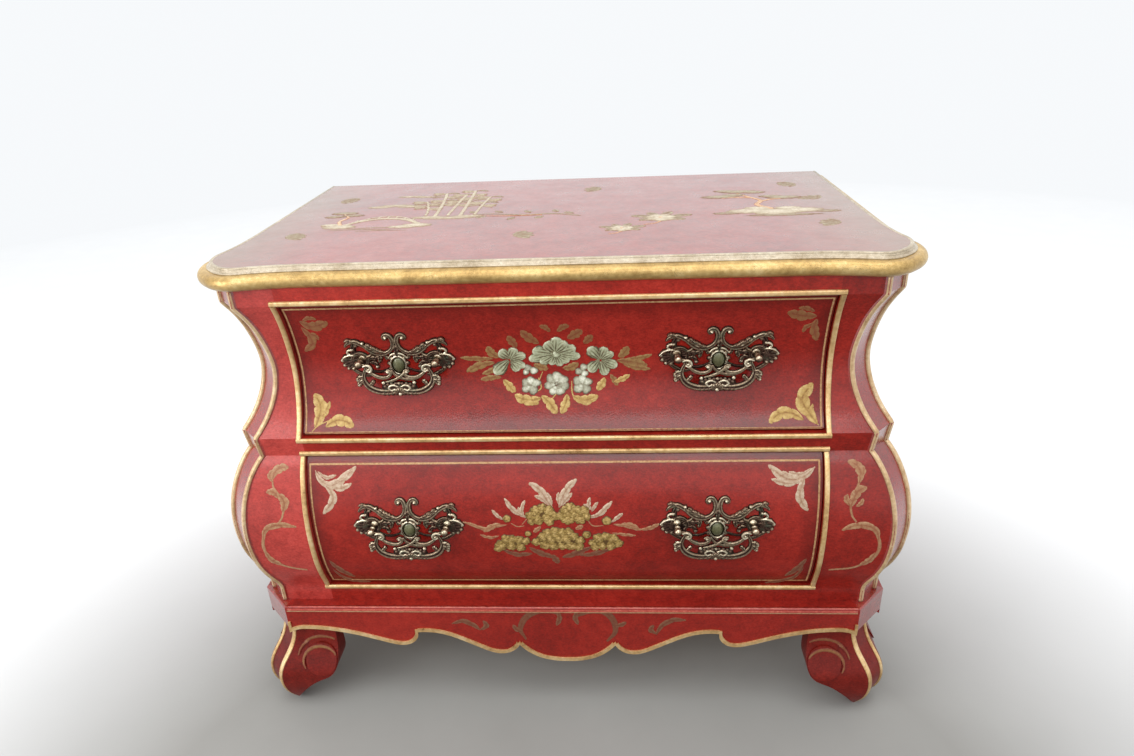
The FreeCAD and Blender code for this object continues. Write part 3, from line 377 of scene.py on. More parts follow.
LO = {
    'lobe_c': [
        ([(-44, 353)], 5.8), ([(-35, 361)], 6.9), ([(-27, 365)], 6.3), ([(-17, 361)], 6.9), ([(-10, 353)], 6.3),
        ([(-20, 349)], 6.9), ([(-33, 347)], 7.6), ([(-16, 344)], 5.5), ([(-42, 345)], 5.5), ([(-1, 353)], 5.8),
        ([(7, 361)], 6.9), ([(14, 366)], 6.9), ([(25, 362)], 6.3), ([(34, 361)], 6.2), ([(37, 352)], 5.5),
        ([(27, 348)], 7.6), ([(10, 348)], 8.3), ([(19, 356)], 6.2), ([(-89, 302)], 8.3), ([(-80, 314)], 6.9),
        ([(-72, 315)], 6.3), ([(-62, 313)], 6.3), ([(-52, 311)], 5.5), ([(-74, 302)], 6.9), ([(-61, 300)], 6.9),
        ([(-93, 297)], 5.5), ([(-20, 325)], 6.9), ([(-10, 328)], 6.9), ([(0, 326)], 6.3), ([(10, 326)], 6.9),
        ([(18, 319)], 6.3), ([(26, 311)], 6.3), ([(-28, 318)], 6.3), ([(-16, 315)], 6.9), ([(-5, 316)], 6.9),
        ([(6, 314)], 6.9), ([(-37, 309)], 6.3), ([(-25, 304)], 6.9), ([(-13, 302)], 6.9), ([(0, 302)], 6.3),
        ([(13, 302)], 6.9), ([(24, 300)], 6.2), ([(44, 308)], 5.5), ([(53, 316)], 6.9), ([(63, 319)], 6.3),
        ([(73, 316)], 6.9), ([(81, 306)], 6.3), ([(70, 302)], 6.9), ([(57, 302)], 6.9), ([(47, 299)], 5.5),
        ([(-77, 349)], 5.9), ([(-48, 324)], 4.7), ([(36, 322)], 6.3), ([(65, 345)], 6.9),
    ],
    'leaf_silver': [
        ([(-11, 365), (-19, 377), (-25, 387), (-33, 395), (-44, 401)], 5.5),
        ([(-17, 370), (-26, 379), (-36, 383)], 3.6), ([(-11, 370), (-15, 380), (-19, 388)], 2.9),
        ([(-2, 365), (3, 380), (9, 391), (17, 400), (24, 406)], 5.4), ([(1, 368), (8, 377), (17, 387)], 3.6),
        ([(-2, 370), (-3, 380), (-2, 388)], 2.9), ([(-48, 350), (-62, 358), (-71, 367), (-79, 380)], 3.9),
        ([(-53, 352), (-55, 364), (-50, 377)], 2.8), ([(-54, 352), (-58, 360), (-60, 367)], 2.5),
        ([(-82, 347), (-90, 353), (-98, 363)], 2.9), ([(43, 361), (40, 371), (42, 381)], 3.0),
        ([(44, 359), (48, 367), (53, 374)], 2.6), ([(40, 361), (37, 367), (33, 371)], 2.5),
        ([(38, 350), (54, 355), (63, 364), (73, 375)], 4.1), ([(71, 342), (80, 350), (88, 357)], 3.0),
    ],
    'leaf_tan': [
        ([(-77, 339), (-93, 336), (-110, 332), (-127, 339), (-142, 344)], 3.2),
        ([(-87, 341), (-99, 336), (-112, 327)], 4.7), ([(-90, 320), (-103, 317), (-118, 322)], 2.8),
        ([(73, 339), (91, 337), (105, 332), (115, 330)], 3.3), ([(112, 330), (126, 333), (139, 340)], 3.6),
        ([(85, 340), (98, 338), (110, 332)], 4.1), ([(71, 325), (87, 322), (106, 320)], 2.8),
        ([(-29, 336), (-40, 326)], 3.6), ([(20, 331), (31, 337)], 3.9),
    ],
    'stem_tan': [
        ([(-53, 337), (-63, 336), (-71, 341)], 1.0), ([(-48, 349), (-56, 339)], 0.8),
        ([(37, 348), (45, 337), (60, 337)], 1.0),
    ],
    'leaf_grey': [
        ([(-88, 295), (-67, 285), (-44, 287)], 4.7), ([(-49, 299), (-31, 287), (-12, 279)], 5.5),
        ([(-15, 285), (-7, 266)], 5.5), ([(74, 297), (48, 287), (25, 283)], 4.7),
        ([(43, 300), (19, 287), (-1, 279)], 5.5),
    ],
    'tl_silver': [
        ([(-350, 419), (-343, 407), (-328, 399), (-310, 408), (-290, 424)], 6.3),
        ([(-324, 402), (-309, 410), (-303, 415)], 3.3), ([(-336, 401), (-315, 395), (-297, 402)], 4.4),
        ([(-347, 418), (-334, 410), (-319, 413)], 2.8), ([(-339, 402), (-328, 391), (-327, 377), (-343, 357)], 5.8),
        ([(351, 419), (338, 408), (321, 403), (306, 408), (288, 422)], 6.3),
        ([(330, 404), (315, 409), (307, 414)], 3.3), ([(336, 402), (314, 398), (292, 404)], 4.4),
        ([(347, 418), (333, 410), (315, 413)], 2.8), ([(337, 405), (332, 391), (332, 377), (343, 359)], 6.1),
    ],
    'tl_stem': [
        ([(-350, 419), (-341, 407)], 1.0), ([(351, 419), (338, 406)], 1.0),
    ],
    'bl_faint': [
        ([(-350, 273), (-338, 250), (-321, 231)], 5.5), ([(-350, 252), (-334, 225), (-300, 218)], 4.1),
        ([(349, 277), (338, 253), (324, 235)], 5.5), ([(348, 258), (334, 229), (298, 217)], 4.1),
    ],
}

ST = {
    'frond': [
        ([(-411, 410), (-407, 420), (-398, 425), (-387, 426)], 4.1), ([(-411, 407), (-415, 415), (-410, 423)], 2.5),
        ([(-404, 384), (-410, 393), (-421, 393)], 3.6), ([(-400, 364), (-396, 378), (-402, 391)], 4.7),
        ([(-395, 370), (-392, 379), (-396, 385)], 2.5),
        ([(-437, 317), (-432, 333), (-419, 341), (-402, 343), (-385, 340)], 3.6),
        ([(-440, 296), (-434, 278), (-420, 267)], 3.6), ([(409, 400), (411, 413), (406, 423), (394, 428)], 4.1),
        ([(411, 408), (415, 415), (414, 423)], 2.2), ([(399, 367), (403, 381), (409, 391), (420, 395)], 4.4),
        ([(398, 370), (393, 379), (394, 386)], 2.8), ([(406, 368), (413, 374), (415, 380)], 2.2),
        ([(442, 315), (437, 331), (424, 339), (406, 339), (390, 332)], 3.9),
        ([(441, 293), (435, 278), (423, 267)], 3.6),
    ],
    'vine': [
        ([(-411, 412), (-410, 400), (-403, 389), (-397, 375), (-402, 356), (-408, 347)], 2.1),
        ([(-385, 340), (-408, 345), (-426, 340), (-435, 324), (-440, 305), (-437, 286), (-424, 269), (-405, 260), (-387, 256)], 2.7),
        ([(413, 413), (407, 396), (402, 384), (399, 370), (402, 355), (408, 346)], 2.1),
        ([(392, 333), (408, 339), (426, 337), (439, 324), (445, 304), (441, 285), (427, 270), (411, 261), (383, 257)], 2.7),
    ],
}

AP = {
    'scroll': [
        ([(-9, 175), (-23, 181), (-42, 181), (-61, 169), (-71, 146), (-64, 126)], 3.6),
        ([(-67, 140), (-76, 144), (-82, 154)], 2.2), ([(-12, 181), (-10, 167), (-15, 153)], 2.2),
        ([(18, 183), (14, 169), (18, 155)], 2.2),
        ([(19, 173), (36, 181), (56, 181), (71, 165), (74, 141), (62, 123)], 3.6),
        ([(72, 153), (83, 155), (91, 161)], 2.2), ([(-177, 155), (-159, 161), (-143, 153), (-133, 143)], 2.5),
        ([(-133, 143), (-123, 152), (-127, 162)], 2.2), ([(136, 135), (144, 153), (161, 165), (181, 165)], 2.5),
        ([(137, 137), (128, 145), (132, 155)], 2.2),
    ],
}


# ------------------------------------------------------------------ raised ornament
def spline(points, n=14):
    """Smooth line through given points."""
    p = np.asarray(points, float)
    if len(p) == 2:
        t = np.linspace(0, 1, n)[:, None]
        return p[0] * (1 - t) + p[1] * t
    q = np.vstack([2 * p[0] - p[1], p, 2 * p[-1] - p[-2]])
    out = []
    for i in range(1, len(q) - 2):
        t = np.linspace(0, 1, n, endpoint=False)[:, None]
        a, b, c, d = q[i - 1], q[i], q[i + 1], q[i + 2]
        out.append(0.5 * (2 * b + (c - a) * t + (2 * a - 5 * b + 4 * c - d) * t ** 2 + (3 * b - a - 3 * c + d) * t ** 3))
    out.append(p[-1:])
    return np.vstack(out)


class Relief:
    """Heights in mm over a (u, v) grid in mm, with a tone from 0 in the hollows to 1 on the high edges: patina and
    rubbed high places on the cast brass, and on the raised paint partly its painted veins and partly painted shade in
    the hollows and painted highlight on the high edges.
    """

    def __init__(self, u0, u1, v0, v1, step=0.7):
        self.u = np.arange(u0, u1 + step / 2, step)
        self.v = np.arange(v0, v1 + step / 2, step)
        self.step = step
        self.U, self.V = np.meshgrid(self.u, self.v)
        self.H = np.zeros(self.U.shape)
        self.T = np.zeros(self.U.shape)

    def win(self, a, b, c, d):
        i0, i1 = np.searchsorted(self.v, [c, d])
        j0, j1 = np.searchsorted(self.u, [a, b])
        return slice(max(i0 - 1, 0), i1 + 1), slice(max(j0 - 1, 0), j1 + 1)

    def lay(self, s, h, t):
        more = h > self.H[s]
        self.H[s] = np.where(more, h, self.H[s])
        self.T[s] = np.where(more, t, self.T[s])

    def blob(self, u, v, r, h, tone=(0.25, 0.95), rv=None, scallop=0, depth=0.12):
        rv = rv or r
        s = self.win(u - r * 1.2, u + r * 1.2, v - rv * 1.2, v + rv * 1.2)
        x, y = (self.U[s] - u) / r, (self.V[s] - v) / rv
        d = np.hypot(x, y)
        if scallop:
            d = d / (1 - depth + depth * np.abs(np.cos(scallop * np.arctan2(y, x) / 2)))
        k = np.sqrt(np.clip(1 - d * d, 0, 1))
        # the tone follows the dome's height: painted highlight on its crown, painted shade at its foot (patina and
        # rubbing on the brass)
        self.lay(s, h * k, tone[0] + (tone[1] - tone[0]) * k)

    def curl(self, u, v, r, h, tone=(0.0, 1.0), turn=0.0):
        """Small cupped floret: pale rolled rim round a darker folded middle, the pale rim and crown a painted highlight
        and the dark fold and foot painted shade.
        """
        s = self.win(u - r * 1.2, u + r * 1.2, v - r * 1.2, v + r * 1.2)
        x, y = (self.U[s] - u) / r, (self.V[s] - v) / r
        ang = np.arctan2(y, x) + turn
        d = np.hypot(x, y) / (0.90 + 0.10 * np.abs(np.cos(2.5 * ang)))
        k = np.sqrt(np.clip(1 - d * d, 0, 1))
        fold = np.exp(-((np.hypot(x - 0.25 * math.cos(turn), y - 0.25 * math.sin(turn)) - 0.36) / 0.12) ** 2) * (np.cos(ang - 0.6) > 0.1)
        t = np.clip(0.30 + 0.60 * k ** 1.5 + 0.12 * np.exp(-((d - 0.70) / 0.16) ** 2) - 0.42 * fold - 2.6 * np.clip(d - 0.84, 0, 1), 0, 1)
        self.lay(s, h * k * (1 - 0.25 * fold) + 0.001, tone[0] + (tone[1] - tone[0]) * t)

    def along(self, line, pad):
        """Distance to a line, signed side and place along it, for the grid points near it."""
        s = self.win(line[:, 0].min() - pad, line[:, 0].max() + pad, line[:, 1].min() - pad, line[:, 1].max() + pad)
        x, y = self.U[s], self.V[s]
        seg = np.diff(line, axis=0)
        ln = np.maximum(np.hypot(seg[:, 0], seg[:, 1]), 1e-9)
        at = np.concatenate([[0], np.cumsum(ln)])
        best = np.full(x.shape, 1e9)
        t = np.zeros(x.shape)
        side = np.zeros(x.shape)
        for i in range(len(seg)):
            dx, dy = x - line[i, 0], y - line[i, 1]
            k = np.clip((dx * seg[i, 0] + dy * seg[i, 1]) / ln[i] ** 2, 0, 1)
            ex, ey = dx - k * seg[i, 0], dy - k * seg[i, 1]
            d = np.hypot(ex, ey)
            m = d < best
            best[m] = d[m]
            t[m] = ((at[i] + k * ln[i]) / at[-1])[m]
            side[m] = ((seg[i, 0] * dy - seg[i, 1] * dx) / ln[i])[m]
        return s, best, t, side, at[-1]

    def stroke(self, points, width, h, tone=(0.30, 0.95), groove=0.0, mirror=False):
        """Rounded rib along a line; width is one half width or one for each point."""
        if mirror:
            self.stroke([(-a, b) for a, b in points], width, h, tone, groove)
        line = spline(points)
        w = np.atleast_1d(np.asarray(width, float))
        w = np.interp(np.linspace(0, 1, 60), np.linspace(0, 1, len(w)), w) if len(w) > 1 else np.full(60, w[0])
        s, d, t, side, _ = self.along(line, w.max() + 1)
        wt = np.interp(t, np.linspace(0, 1, 60), w)
        k = np.clip(1 - (d / wt) ** 2, 0, 1) ** 0.5
        hh = h * np.sqrt(np.clip(wt / w.max(), 0, 1))
        # tone lighter on the rib's crown and darker at its edges and in the groove: painted highlight and shade on the
        # raised paint, patina and rubbing on the brass
        g = groove * np.exp(-((d - 0.12 * wt) / (0.26 * wt)) ** 2)
        self.lay(s, hh * k * (1 - 0.55 * g) * (k > 0), tone[0] + (tone[1] - tone[0]) * k * (1 - g))

    def leaf(self, points, w, h, notch=0.34, teeth=3, tone=(0.20, 0.95), mirror=False):
        """Carved or painted leaf: serrated edge, sunk midrib and side veins."""
        if mirror:
            self.leaf([(-a, b) for a, b in points], w, h, notch, teeth, tone)
        line = spline(points)
        s, d, t, side, length = self.along(line, w * 1.2 + 1)
        shape = np.sin(np.pi * np.clip(t, 0, 1) ** 1.18) ** 0.55
        lean = np.clip(t - 0.30 * d / max(length, 1.0) + 0.09 * (side > 0), 0, 2)
        lobe = np.abs(np.sin(np.pi * lean * teeth)) ** 0.55
        wt = w * 1.06 * shape * (1 - notch * (1 - lobe) * (t < 0.93))
        rim = np.clip(d / np.maximum(wt, 1e-3), 0, 1)
        k = np.clip(1 - rim ** 2.4, 0, 1) * (wt > 0.15)
        rib = np.exp(-(d / (0.10 * w + 0.12)) ** 2) * (t < 0.85)
        vein = np.exp(-((lobe / 0.45) ** 2)) * (d > 0.12 * w)
        body = np.sqrt(k)
        tn = tone[0] + (tone[1] - tone[0]) * np.clip(0.48 + 0.38 * rim ** 1.5 + 0.14 * body - 0.42 * rib - 0.40 * vein, 0, 1)
        self.lay(s, h * body * (1 - 0.35 * rib - 0.30 * vein), tn)

    def petal(self, base, tip, w, h, veins=4.0, tone=(0.0, 1.0)):
        """Round-ended petal from a flower's middle, cupped, with dark veins running out from its foot, painted shade
        where it meets the next petal and a painted highlight on its outer rim.
        """
        b, e = np.asarray(base, float), np.asarray(tip, float)
        ax = e - b
        ln = np.hypot(*ax) + w * 0.12
        ax = ax / np.hypot(*ax)
        r = ln + w
        s = self.win(b[0] - r, b[0] + r, b[1] - r, b[1] + r)
        dx, dy = self.U[s] - b[0], self.V[s] - b[1]
        a = (dx * ax[0] + dy * ax[1]) / ln
        c = (-dx * ax[1] + dy * ax[0]) / w
        ac = np.clip(a, 0, 1)
        half = np.where(ac < 0.62, 0.25 + 0.75 * np.sin(np.pi * ac / 1.24) ** 1.3, np.sqrt(np.clip(1 - ((ac - 0.62) / 0.38) ** 2, 0, 1)))
        wav = 1 + 0.07 * np.cos(c * 9.0 + b[0]) + 0.05 * np.cos(a * 17.0)
        q = np.where((a > 0) & (a < 1), np.abs(c) / np.maximum(half * wav, 1e-3), 2.0)
        k = np.sqrt(np.clip(1 - q ** 3, 0, 1))
        rim = np.clip(np.maximum(q, (ac - 0.62) / 0.38), 0, 1)
        stripes = np.clip(0.5 + 0.5 * np.cos(np.pi * veins * c / np.maximum(half, 0.2) * 0.95), 0, 1) ** 2.5
        fade = np.clip(1.35 - ac * 1.45, 0, 1)
        hh = h * np.clip(1 - q ** 2.0, 0, 1) ** 0.7 * (0.34 + 0.66 * ac ** 0.8) * (1 - 0.45 * stripes * fade)
        # gap darkens where petals meet, painted shade; the rim term lightens the outer rim, painted highlight
        gap = np.clip((q - 0.72) * 5, 0, 1)
        tn = tone[0] + (tone[1] - tone[0]) * np.clip(0.50 + 0.22 * ac + 0.36 * rim ** 4 * (ac > 0.55) - 0.85 * stripes * fade - 0.80 * gap * (ac < 0.86), 0, 1)
        self.lay(s, hh * (k > 0), tn)

    def piece(self, name, place, mat, body, slot, sink=0.35, soften=1):
        h = self.H.copy()
        for _ in range(soften):
            p = np.pad(h, 1)
            avg = (p[:-2, 1:-1] + p[2:, 1:-1] + p[1:-1, :-2] + p[1:-1, 2:]) / 4
            h = np.where(h > 0.02, 0.5 * h + 0.5 * np.minimum(avg, h * 1.6 + 0.05), 0)
        on = h > 0.02
        quad = on[:-1, :-1] | on[1:, :-1] | on[:-1, 1:] | on[1:, 1:]
        used = np.zeros(h.shape, bool)
        used[:-1, :-1] |= quad
        used[1:, :-1] |= quad
        used[:-1, 1:] |= quad
        used[1:, 1:] |= quad
        idx = np.full(h.shape, -1, int)
        idx[used] = np.arange(used.sum())
        hv = np.where(on, h, -sink)
        verts = place(self.U[used], self.V[used], hv[used])
        i, j = np.nonzero(quad)
        faces = np.stack([idx[i, j], idx[i, j + 1], idx[i + 1, j + 1], idx[i + 1, j]], 1)
        o = quick_mesh(name, verts, faces, mat, self.T[used])
        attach(o, body)
        return o

    def closed(self, name, place, mat, body, slot):
        """Both sides of a cast bar: the same relief in front of and behind the plane, joined round its edge."""
        on = self.H > 0.05
        quad = on[:-1, :-1] | on[1:, :-1] | on[:-1, 1:] | on[1:, 1:]
        used = np.zeros(on.shape, bool)
        used[:-1, :-1] |= quad
        used[1:, :-1] |= quad
        used[:-1, 1:] |= quad
        used[1:, 1:] |= quad
        front = np.full(on.shape, -1, int)
        n = int(used.sum())
        front[used] = np.arange(n)
        inner = used & on
        back = front.copy()
        back[inner] = n + np.arange(int(inner.sum()))
        h = np.where(on, self.H, 0.0)
        va = place(self.U[used], self.V[used], h[used])
        vb = place(self.U[inner], self.V[inner], -0.72 * h[inner])
        i, j = np.nonzero(quad)
        fa = np.stack([front[i, j], front[i, j + 1], front[i + 1, j + 1], front[i + 1, j]], 1)
        fb = np.stack([back[i, j], back[i + 1, j], back[i + 1, j + 1], back[i, j + 1]], 1)
        o = quick_mesh(name, np.vstack([va, vb]), np.vstack([fa, fb]), mat, np.concatenate([self.T[used], self.T[inner] * 0.8]))
        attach(o, body)
        return o


def quick_mesh(name, verts, faces, mat, tone=None):
    me = bpy.data.meshes.new(name)
    me.vertices.add(len(verts))
    me.vertices.foreach_set("co", np.asarray(verts, np.float32).ravel())
    faces = np.asarray(faces, np.int32)
    me.loops.add(faces.size)
    me.loops.foreach_set("vertex_index", faces.ravel())
    me.polygons.add(len(faces))
    me.polygons.foreach_set("loop_start", np.arange(0, faces.size, faces.shape[1], dtype=np.int32))
    me.update(calc_edges=True)
    me.validate()
    me.polygons.foreach_set("use_smooth", [True] * len(me.polygons))
    if tone is not None:
        a = me.attributes.new("tone", "FLOAT", "POINT")
        a.data.foreach_set("value", np.asarray(tone, np.float32))
    me.materials.append(mat)
    me.update()
    o = bpy.data.objects.new(name, me)
    scene.collection.objects.link(o)
    return o


# ------------------------------------------------------------------ the shaped faces that carry ornament
def tree(node):
    me = NODES[node].data
    return BVHTree.FromPolygons([v.co.copy() for v in me.vertices], [tuple(p.vertices) for p in me.polygons])


def profile(node, x, z0, z1, step=1.0):
    """Depth in metres of a CAD face at each height, met from the front at a fixed x in mm."""
    t = tree(node)
    zs, ys = [], []
    for z in np.arange(z0, z1 + step / 2, step):
        hit = t.ray_cast(Vector((x * MM, -1.0, z * MM)), Vector((0, 1, 0)))
        if hit[0] is not None:
            zs.append(z)
            ys.append(hit[0].y)
    return np.array(zs), np.array(ys)


def front_place(table, cx=0.0, cz=0.0):
    zs, ys = table

    def place(u, v, h):
        z = v + cz
        y = np.interp(z, zs, ys)
        slope = np.interp(z + 1, zs, ys) - np.interp(z - 1, zs, ys)
        tilt = slope / (2 * MM)
        n = 1 / np.sqrt(1 + tilt * tilt)
        return np.stack([(u + cx) * MM, y - h * MM * n, z * MM + h * MM * tilt * n], 1)
    return place


FACE_UP = profile("upper_front", 0.0, 471.0, 660.5)
FACE_LO = profile("lower_front", 0.0, 219.0, 437.5)
FACE_ST = profile("stile_right", 392.0, 190.0, 686.0)


def paint(name, stops, rub=0.35, rough=0.42, metal=0.0, bump=0.25):
    """Raised paint in one colour family; tone runs from its veins to its edges, and the ramp turns it into painted
    shade in the hollows and painted highlight on the high edges as well as the painted veins, with red showing where it
    is rubbed.
    """
    m = Mat(name, Metallic=metal, Specular_IOR_Level=0.30, Coat_Weight=0.08, Coat_Roughness=0.3)
    t = m.math("ADD", m.attribute("tone"), m.math("MULTIPLY", m.math("SUBTRACT", m.noise(210.0, 3.0, 0.6), 0.5), 0.75))
    t = m.math("ADD", t, m.math("MULTIPLY", m.math("SUBTRACT", m.noise(520.0, 2.0, 0.6), 0.5), 0.35))
    col = m.ramp(t, stops)
    worn = m.math("MULTIPLY", m.span(m.noise(290.0, 4.0, 0.7), 0.44, 0.62), m.span(m.noise(48.0, 3.0), 0.35, 0.65, 0.35, 1.0))
    col = m.mix(m.math("MULTIPLY", worn, rub), col, (0.20, 0.045, 0.020))
    m.set(Base_Color=col, Roughness=m.span(t, 0.0, 1.0, rough + 0.15, rough - 0.08), Normal=m.bump(m.noise(800.0, 3.0, 0.6), bump, 0.0007))
    return m.m


P_CELADON = paint("paint_celadon", [(0.0, (0.05, 0.032, 0.016)), (0.34, (0.165, 0.165, 0.09)), (0.66, (0.36, 0.385, 0.25)), (1.0, (0.56, 0.59, 0.43))], rub=0.2)
P_IVORY = paint("paint_ivory", [(0.0, (0.070, 0.045, 0.028)), (0.34, (0.22, 0.205, 0.14)), (0.66, (0.44, 0.445, 0.335)), (1.0, (0.76, 0.76, 0.64))], rub=0.16)
P_GOLD = paint("paint_gold", [(0.0, (0.16, 0.06, 0.014)), (0.34, (0.27, 0.15, 0.04)), (0.66, (0.45, 0.295, 0.092)), (1.0, (0.62, 0.46, 0.19))], rub=0.45, metal=0.1)
P_MUSTARD = paint("paint_mustard", [(0.0, (0.060, 0.026, 0.006)), (0.34, (0.110, 0.065, 0.014)), (0.66, (0.285, 0.190, 0.050)), (1.0, (0.58, 0.41, 0.165))], rub=0.22, metal=0.1)
P_OLIVE = paint("paint_olive", [(0.0, (0.13, 0.014, 0.008)), (0.34, (0.17, 0.058, 0.02)), (0.66, (0.235, 0.13, 0.042)), (1.0, (0.32, 0.215, 0.08))], rub=0.55)
P_FAINT = paint("paint_faint", [(0.0, (0.15, 0.01, 0.007)), (0.34, (0.17, 0.036, 0.013)), (0.66, (0.2, 0.08, 0.027)), (1.0, (0.26, 0.13, 0.048))], rub=0.6)
P_SILVER = paint("paint_silver", [(0.0, (0.20, 0.055, 0.035)), (0.34, (0.31, 0.175, 0.105)), (0.66, (0.46, 0.33, 0.225)), (1.0, (0.62, 0.51, 0.385))], rub=0.40, metal=0.1)
P_TAN = paint("paint_tan", [(0.0, (0.18, 0.030, 0.017)), (0.34, (0.24, 0.085, 0.040)), (0.66, (0.33, 0.165, 0.080)), (1.0, (0.44, 0.28, 0.155))], rub=0.6)
P_GREY = paint("paint_greybrown", [(0.0, (0.10, 0.010, 0.007)), (0.34, (0.125, 0.028, 0.014)), (0.66, (0.16, 0.060, 0.030)), (1.0, (0.22, 0.11, 0.060))], rub=0.6)


def bouquet(kind, name, table, place, mat, body, step=0.7, h=1.3, rect=(-362, 362, 216, 662)):
    """One colour of a spray of flowers: every shape of that kind in the table."""
    pts = np.array([p for k in kind for line, w in table[k] for p in line], float)
    w = max(w for k in kind for _, w in table[k]) * 2.0 + 3
    r = Relief(max(pts[:, 0].min() - w, rect[0]), min(pts[:, 0].max() + w, rect[1]),
               max(pts[:, 1].min() - w, rect[2]), min(pts[:, 1].max() + w, rect[3]), step)
    for k in kind:
        if k == "lobe_c":
            # dark low masses under the mustard florets, painted shade in the gaps between them
            for x, z, rx, rz in ((-27, 355, 21, 10), (21, 356, 20, 10), (-74, 306, 21, 8), (-5, 314, 33, 13), (62, 308, 21, 9)):
                r.blob(x, z, rx, h * 0.5, tone=(0.0, 0.25), rv=rz)
        for i, (line, w) in enumerate(table[k]):
            up = h * (1 + 0.05 * (i % 4))
            if k.startswith("petal_w"):
                (bx, bz), (ex, ez) = line
                x, z = bx + 0.62 * (ex - bx), bz + 0.62 * (ez - bz)
                k1 = 1.02 + 0.22 * ((i * 5) % 4) / 3
                r.blob(x, z, w * k1, up * (0.70 + 0.5 * ((i * 7) % 5) / 5), tone=(-0.15, 0.60 + 0.35 * ((i * 3) % 4) / 3), rv=w * (2.14 - k1), scallop=3, depth=0.16)
                x, z = bx + 0.30 * (ex - bx), bz + 0.30 * (ez - bz)
                r.blob(x, z, w * 0.62, up * 0.95, tone=(-0.1, 0.55 + 0.3 * (i % 2)), rv=w * 0.55, scallop=3, depth=0.2)
            elif k.startswith("petal"):
                r.petal(line[0], line[1], w * 0.96, up * (0.85 + 0.34 * ((i * 7) % 5) / 5))
            elif k.startswith("lobe"):
                x, z = line[0]
                if i >= len(table[k]) - 4:
                    r.curl(x, z, w * 1.08, up, tone=(0.0, 0.9), turn=i * 1.7)
                    continue
                for j in range(5):
                    a = i * 1.7 + j * 1.2566
                    r.curl(x + 0.62 * w * math.cos(a), z + 0.62 * w * math.sin(a), w * (0.56 + 0.10 * ((i + j) % 3)), up * (0.62 + 0.28 * ((i * 3 + j * 2) % 5) / 5),
                           tone=(0.0, 0.74 + 0.2 * ((i + j) % 2)), turn=a)
                r.curl(x, z, w * 0.66, up * (0.95 + 0.1 * (i % 3)), tone=(0.0, 1.0), turn=i * 2.3)
            elif k == "bud":
                r.blob(line[0][0], line[0][1], w * 1.1, up * (0.75 + 0.4 * ((i * 7) % 5) / 5), tone=(-0.15, 0.62 + 0.3 * ((i * 3) % 4) / 3), rv=w, scallop=3, depth=0.16)
            elif k == "scroll" and w > 3:
                r.stroke(line, [w * 0.7, w * 1.5, w * 1.6, w * 1.3, w * 0.6], up * 0.5, tone=(0.1, 0.8), groove=0.4)
            elif "stem" in k or k == "vine":
                r.stroke(line, [w * 0.7, w, w * 0.7], up * 0.5, tone=(0.4, 0.8))
            elif k == "frond":
                r.leaf(line, w * 1.45, up * 0.75, notch=0.30)
            elif k == "scroll":
                r.leaf(line, w * 1.9, up * 0.75, notch=0.25)
            else:
                r.leaf(line, w, up * 0.75)
        if k == "petal_c":
            r.blob(0.0, 574.0, 5.5, h * 1.15, tone=(0.0, 0.9), rv=4.0, scallop=6)
            r.blob(-2.0, 577.0, 2.4, h * 1.35, tone=(0.4, 1.0))
        if k.startswith("petal_w"):
            c = table[k][0][0][0]
            r.blob(c[0], c[1], 2.0, h * 1.15, tone=(0.0, 0.50))
    return r.piece(name, place, mat, body, "lacquer")


PL_UP, PL_LO, PL_ST = front_place(FACE_UP), front_place(FACE_LO), front_place(FACE_ST)
bouquet(["leaf_faint"], "upper_leaves_faint", UP, PL_UP, P_FAINT, "upper_drawer", h=0.5)
bouquet(["tl_faint"], "upper_corner_faint", UP, PL_UP, P_FAINT, "upper_drawer", h=0.5)
bouquet(["leaf_olive"], "upper_leaves_olive", UP, PL_UP, P_OLIVE, "upper_drawer", h=0.7)
bouquet(["stem", "leaf_gold"], "upper_leaves_gold", UP, PL_UP, P_GOLD, "upper_drawer", h=1.1)
bouquet(["bl_stem", "bl_gold"], "upper_corner_gold", UP, PL_UP, P_GOLD, "upper_drawer", h=0.7)
bouquet(["petal_c", "petal_l", "petal_r"], "upper_flowers_celadon", UP, PL_UP, P_CELADON, "upper_drawer", h=2.0)
bouquet(["bud", "petal_w1", "petal_w2", "petal_w3"], "upper_flowers_pale", UP, PL_UP, P_IVORY, "upper_drawer", h=1.9)
bouquet(["leaf_grey"], "lower_leaves_grey", LO, PL_LO, P_GREY, "lower_drawer", h=0.5)
bouquet(["bl_faint"], "lower_corner_faint", LO, PL_LO, P_GREY, "lower_drawer", h=0.5)
bouquet(["stem_tan", "leaf_tan"], "lower_vines_tan", LO, PL_LO, P_TAN, "lower_drawer", h=0.7)
bouquet(["leaf_silver"], "lower_leaves_silver", LO, PL_LO, P_SILVER, "lower_drawer", h=0.9)
bouquet(["tl_stem", "tl_silver"], "lower_corner_silver", LO, PL_LO, P_SILVER, "lower_drawer", h=0.7)
bouquet(["lobe_c"], "lower_flowers_mustard", LO, PL_LO, P_MUSTARD, "lower_drawer", h=2.3, step=0.6)
for side in (-1, 1):
    half = {k: [(l, w) for l, w in v if l[0][0] * side > 0] for k, v in ST.items()}
    bouquet(["vine", "frond"], "stile_vine_" + ("left" if side < 0 else "right"), half, PL_ST, P_TAN, "carcass", h=0.6,
            rect=(-460, 460, 190, 686))


def flat_place(y_mm):
    def place(u, v, h):
        return np.stack([u * MM, np.full(u.shape, (y_mm + Y_SHIFT) * MM) - h * MM, v * MM], 1)
    return place


bouquet(["scroll"], "apron_scrolls", AP, flat_place(-34.5), P_GREY, "carcass", h=0.6, rect=(-430, 430, 100, 184))


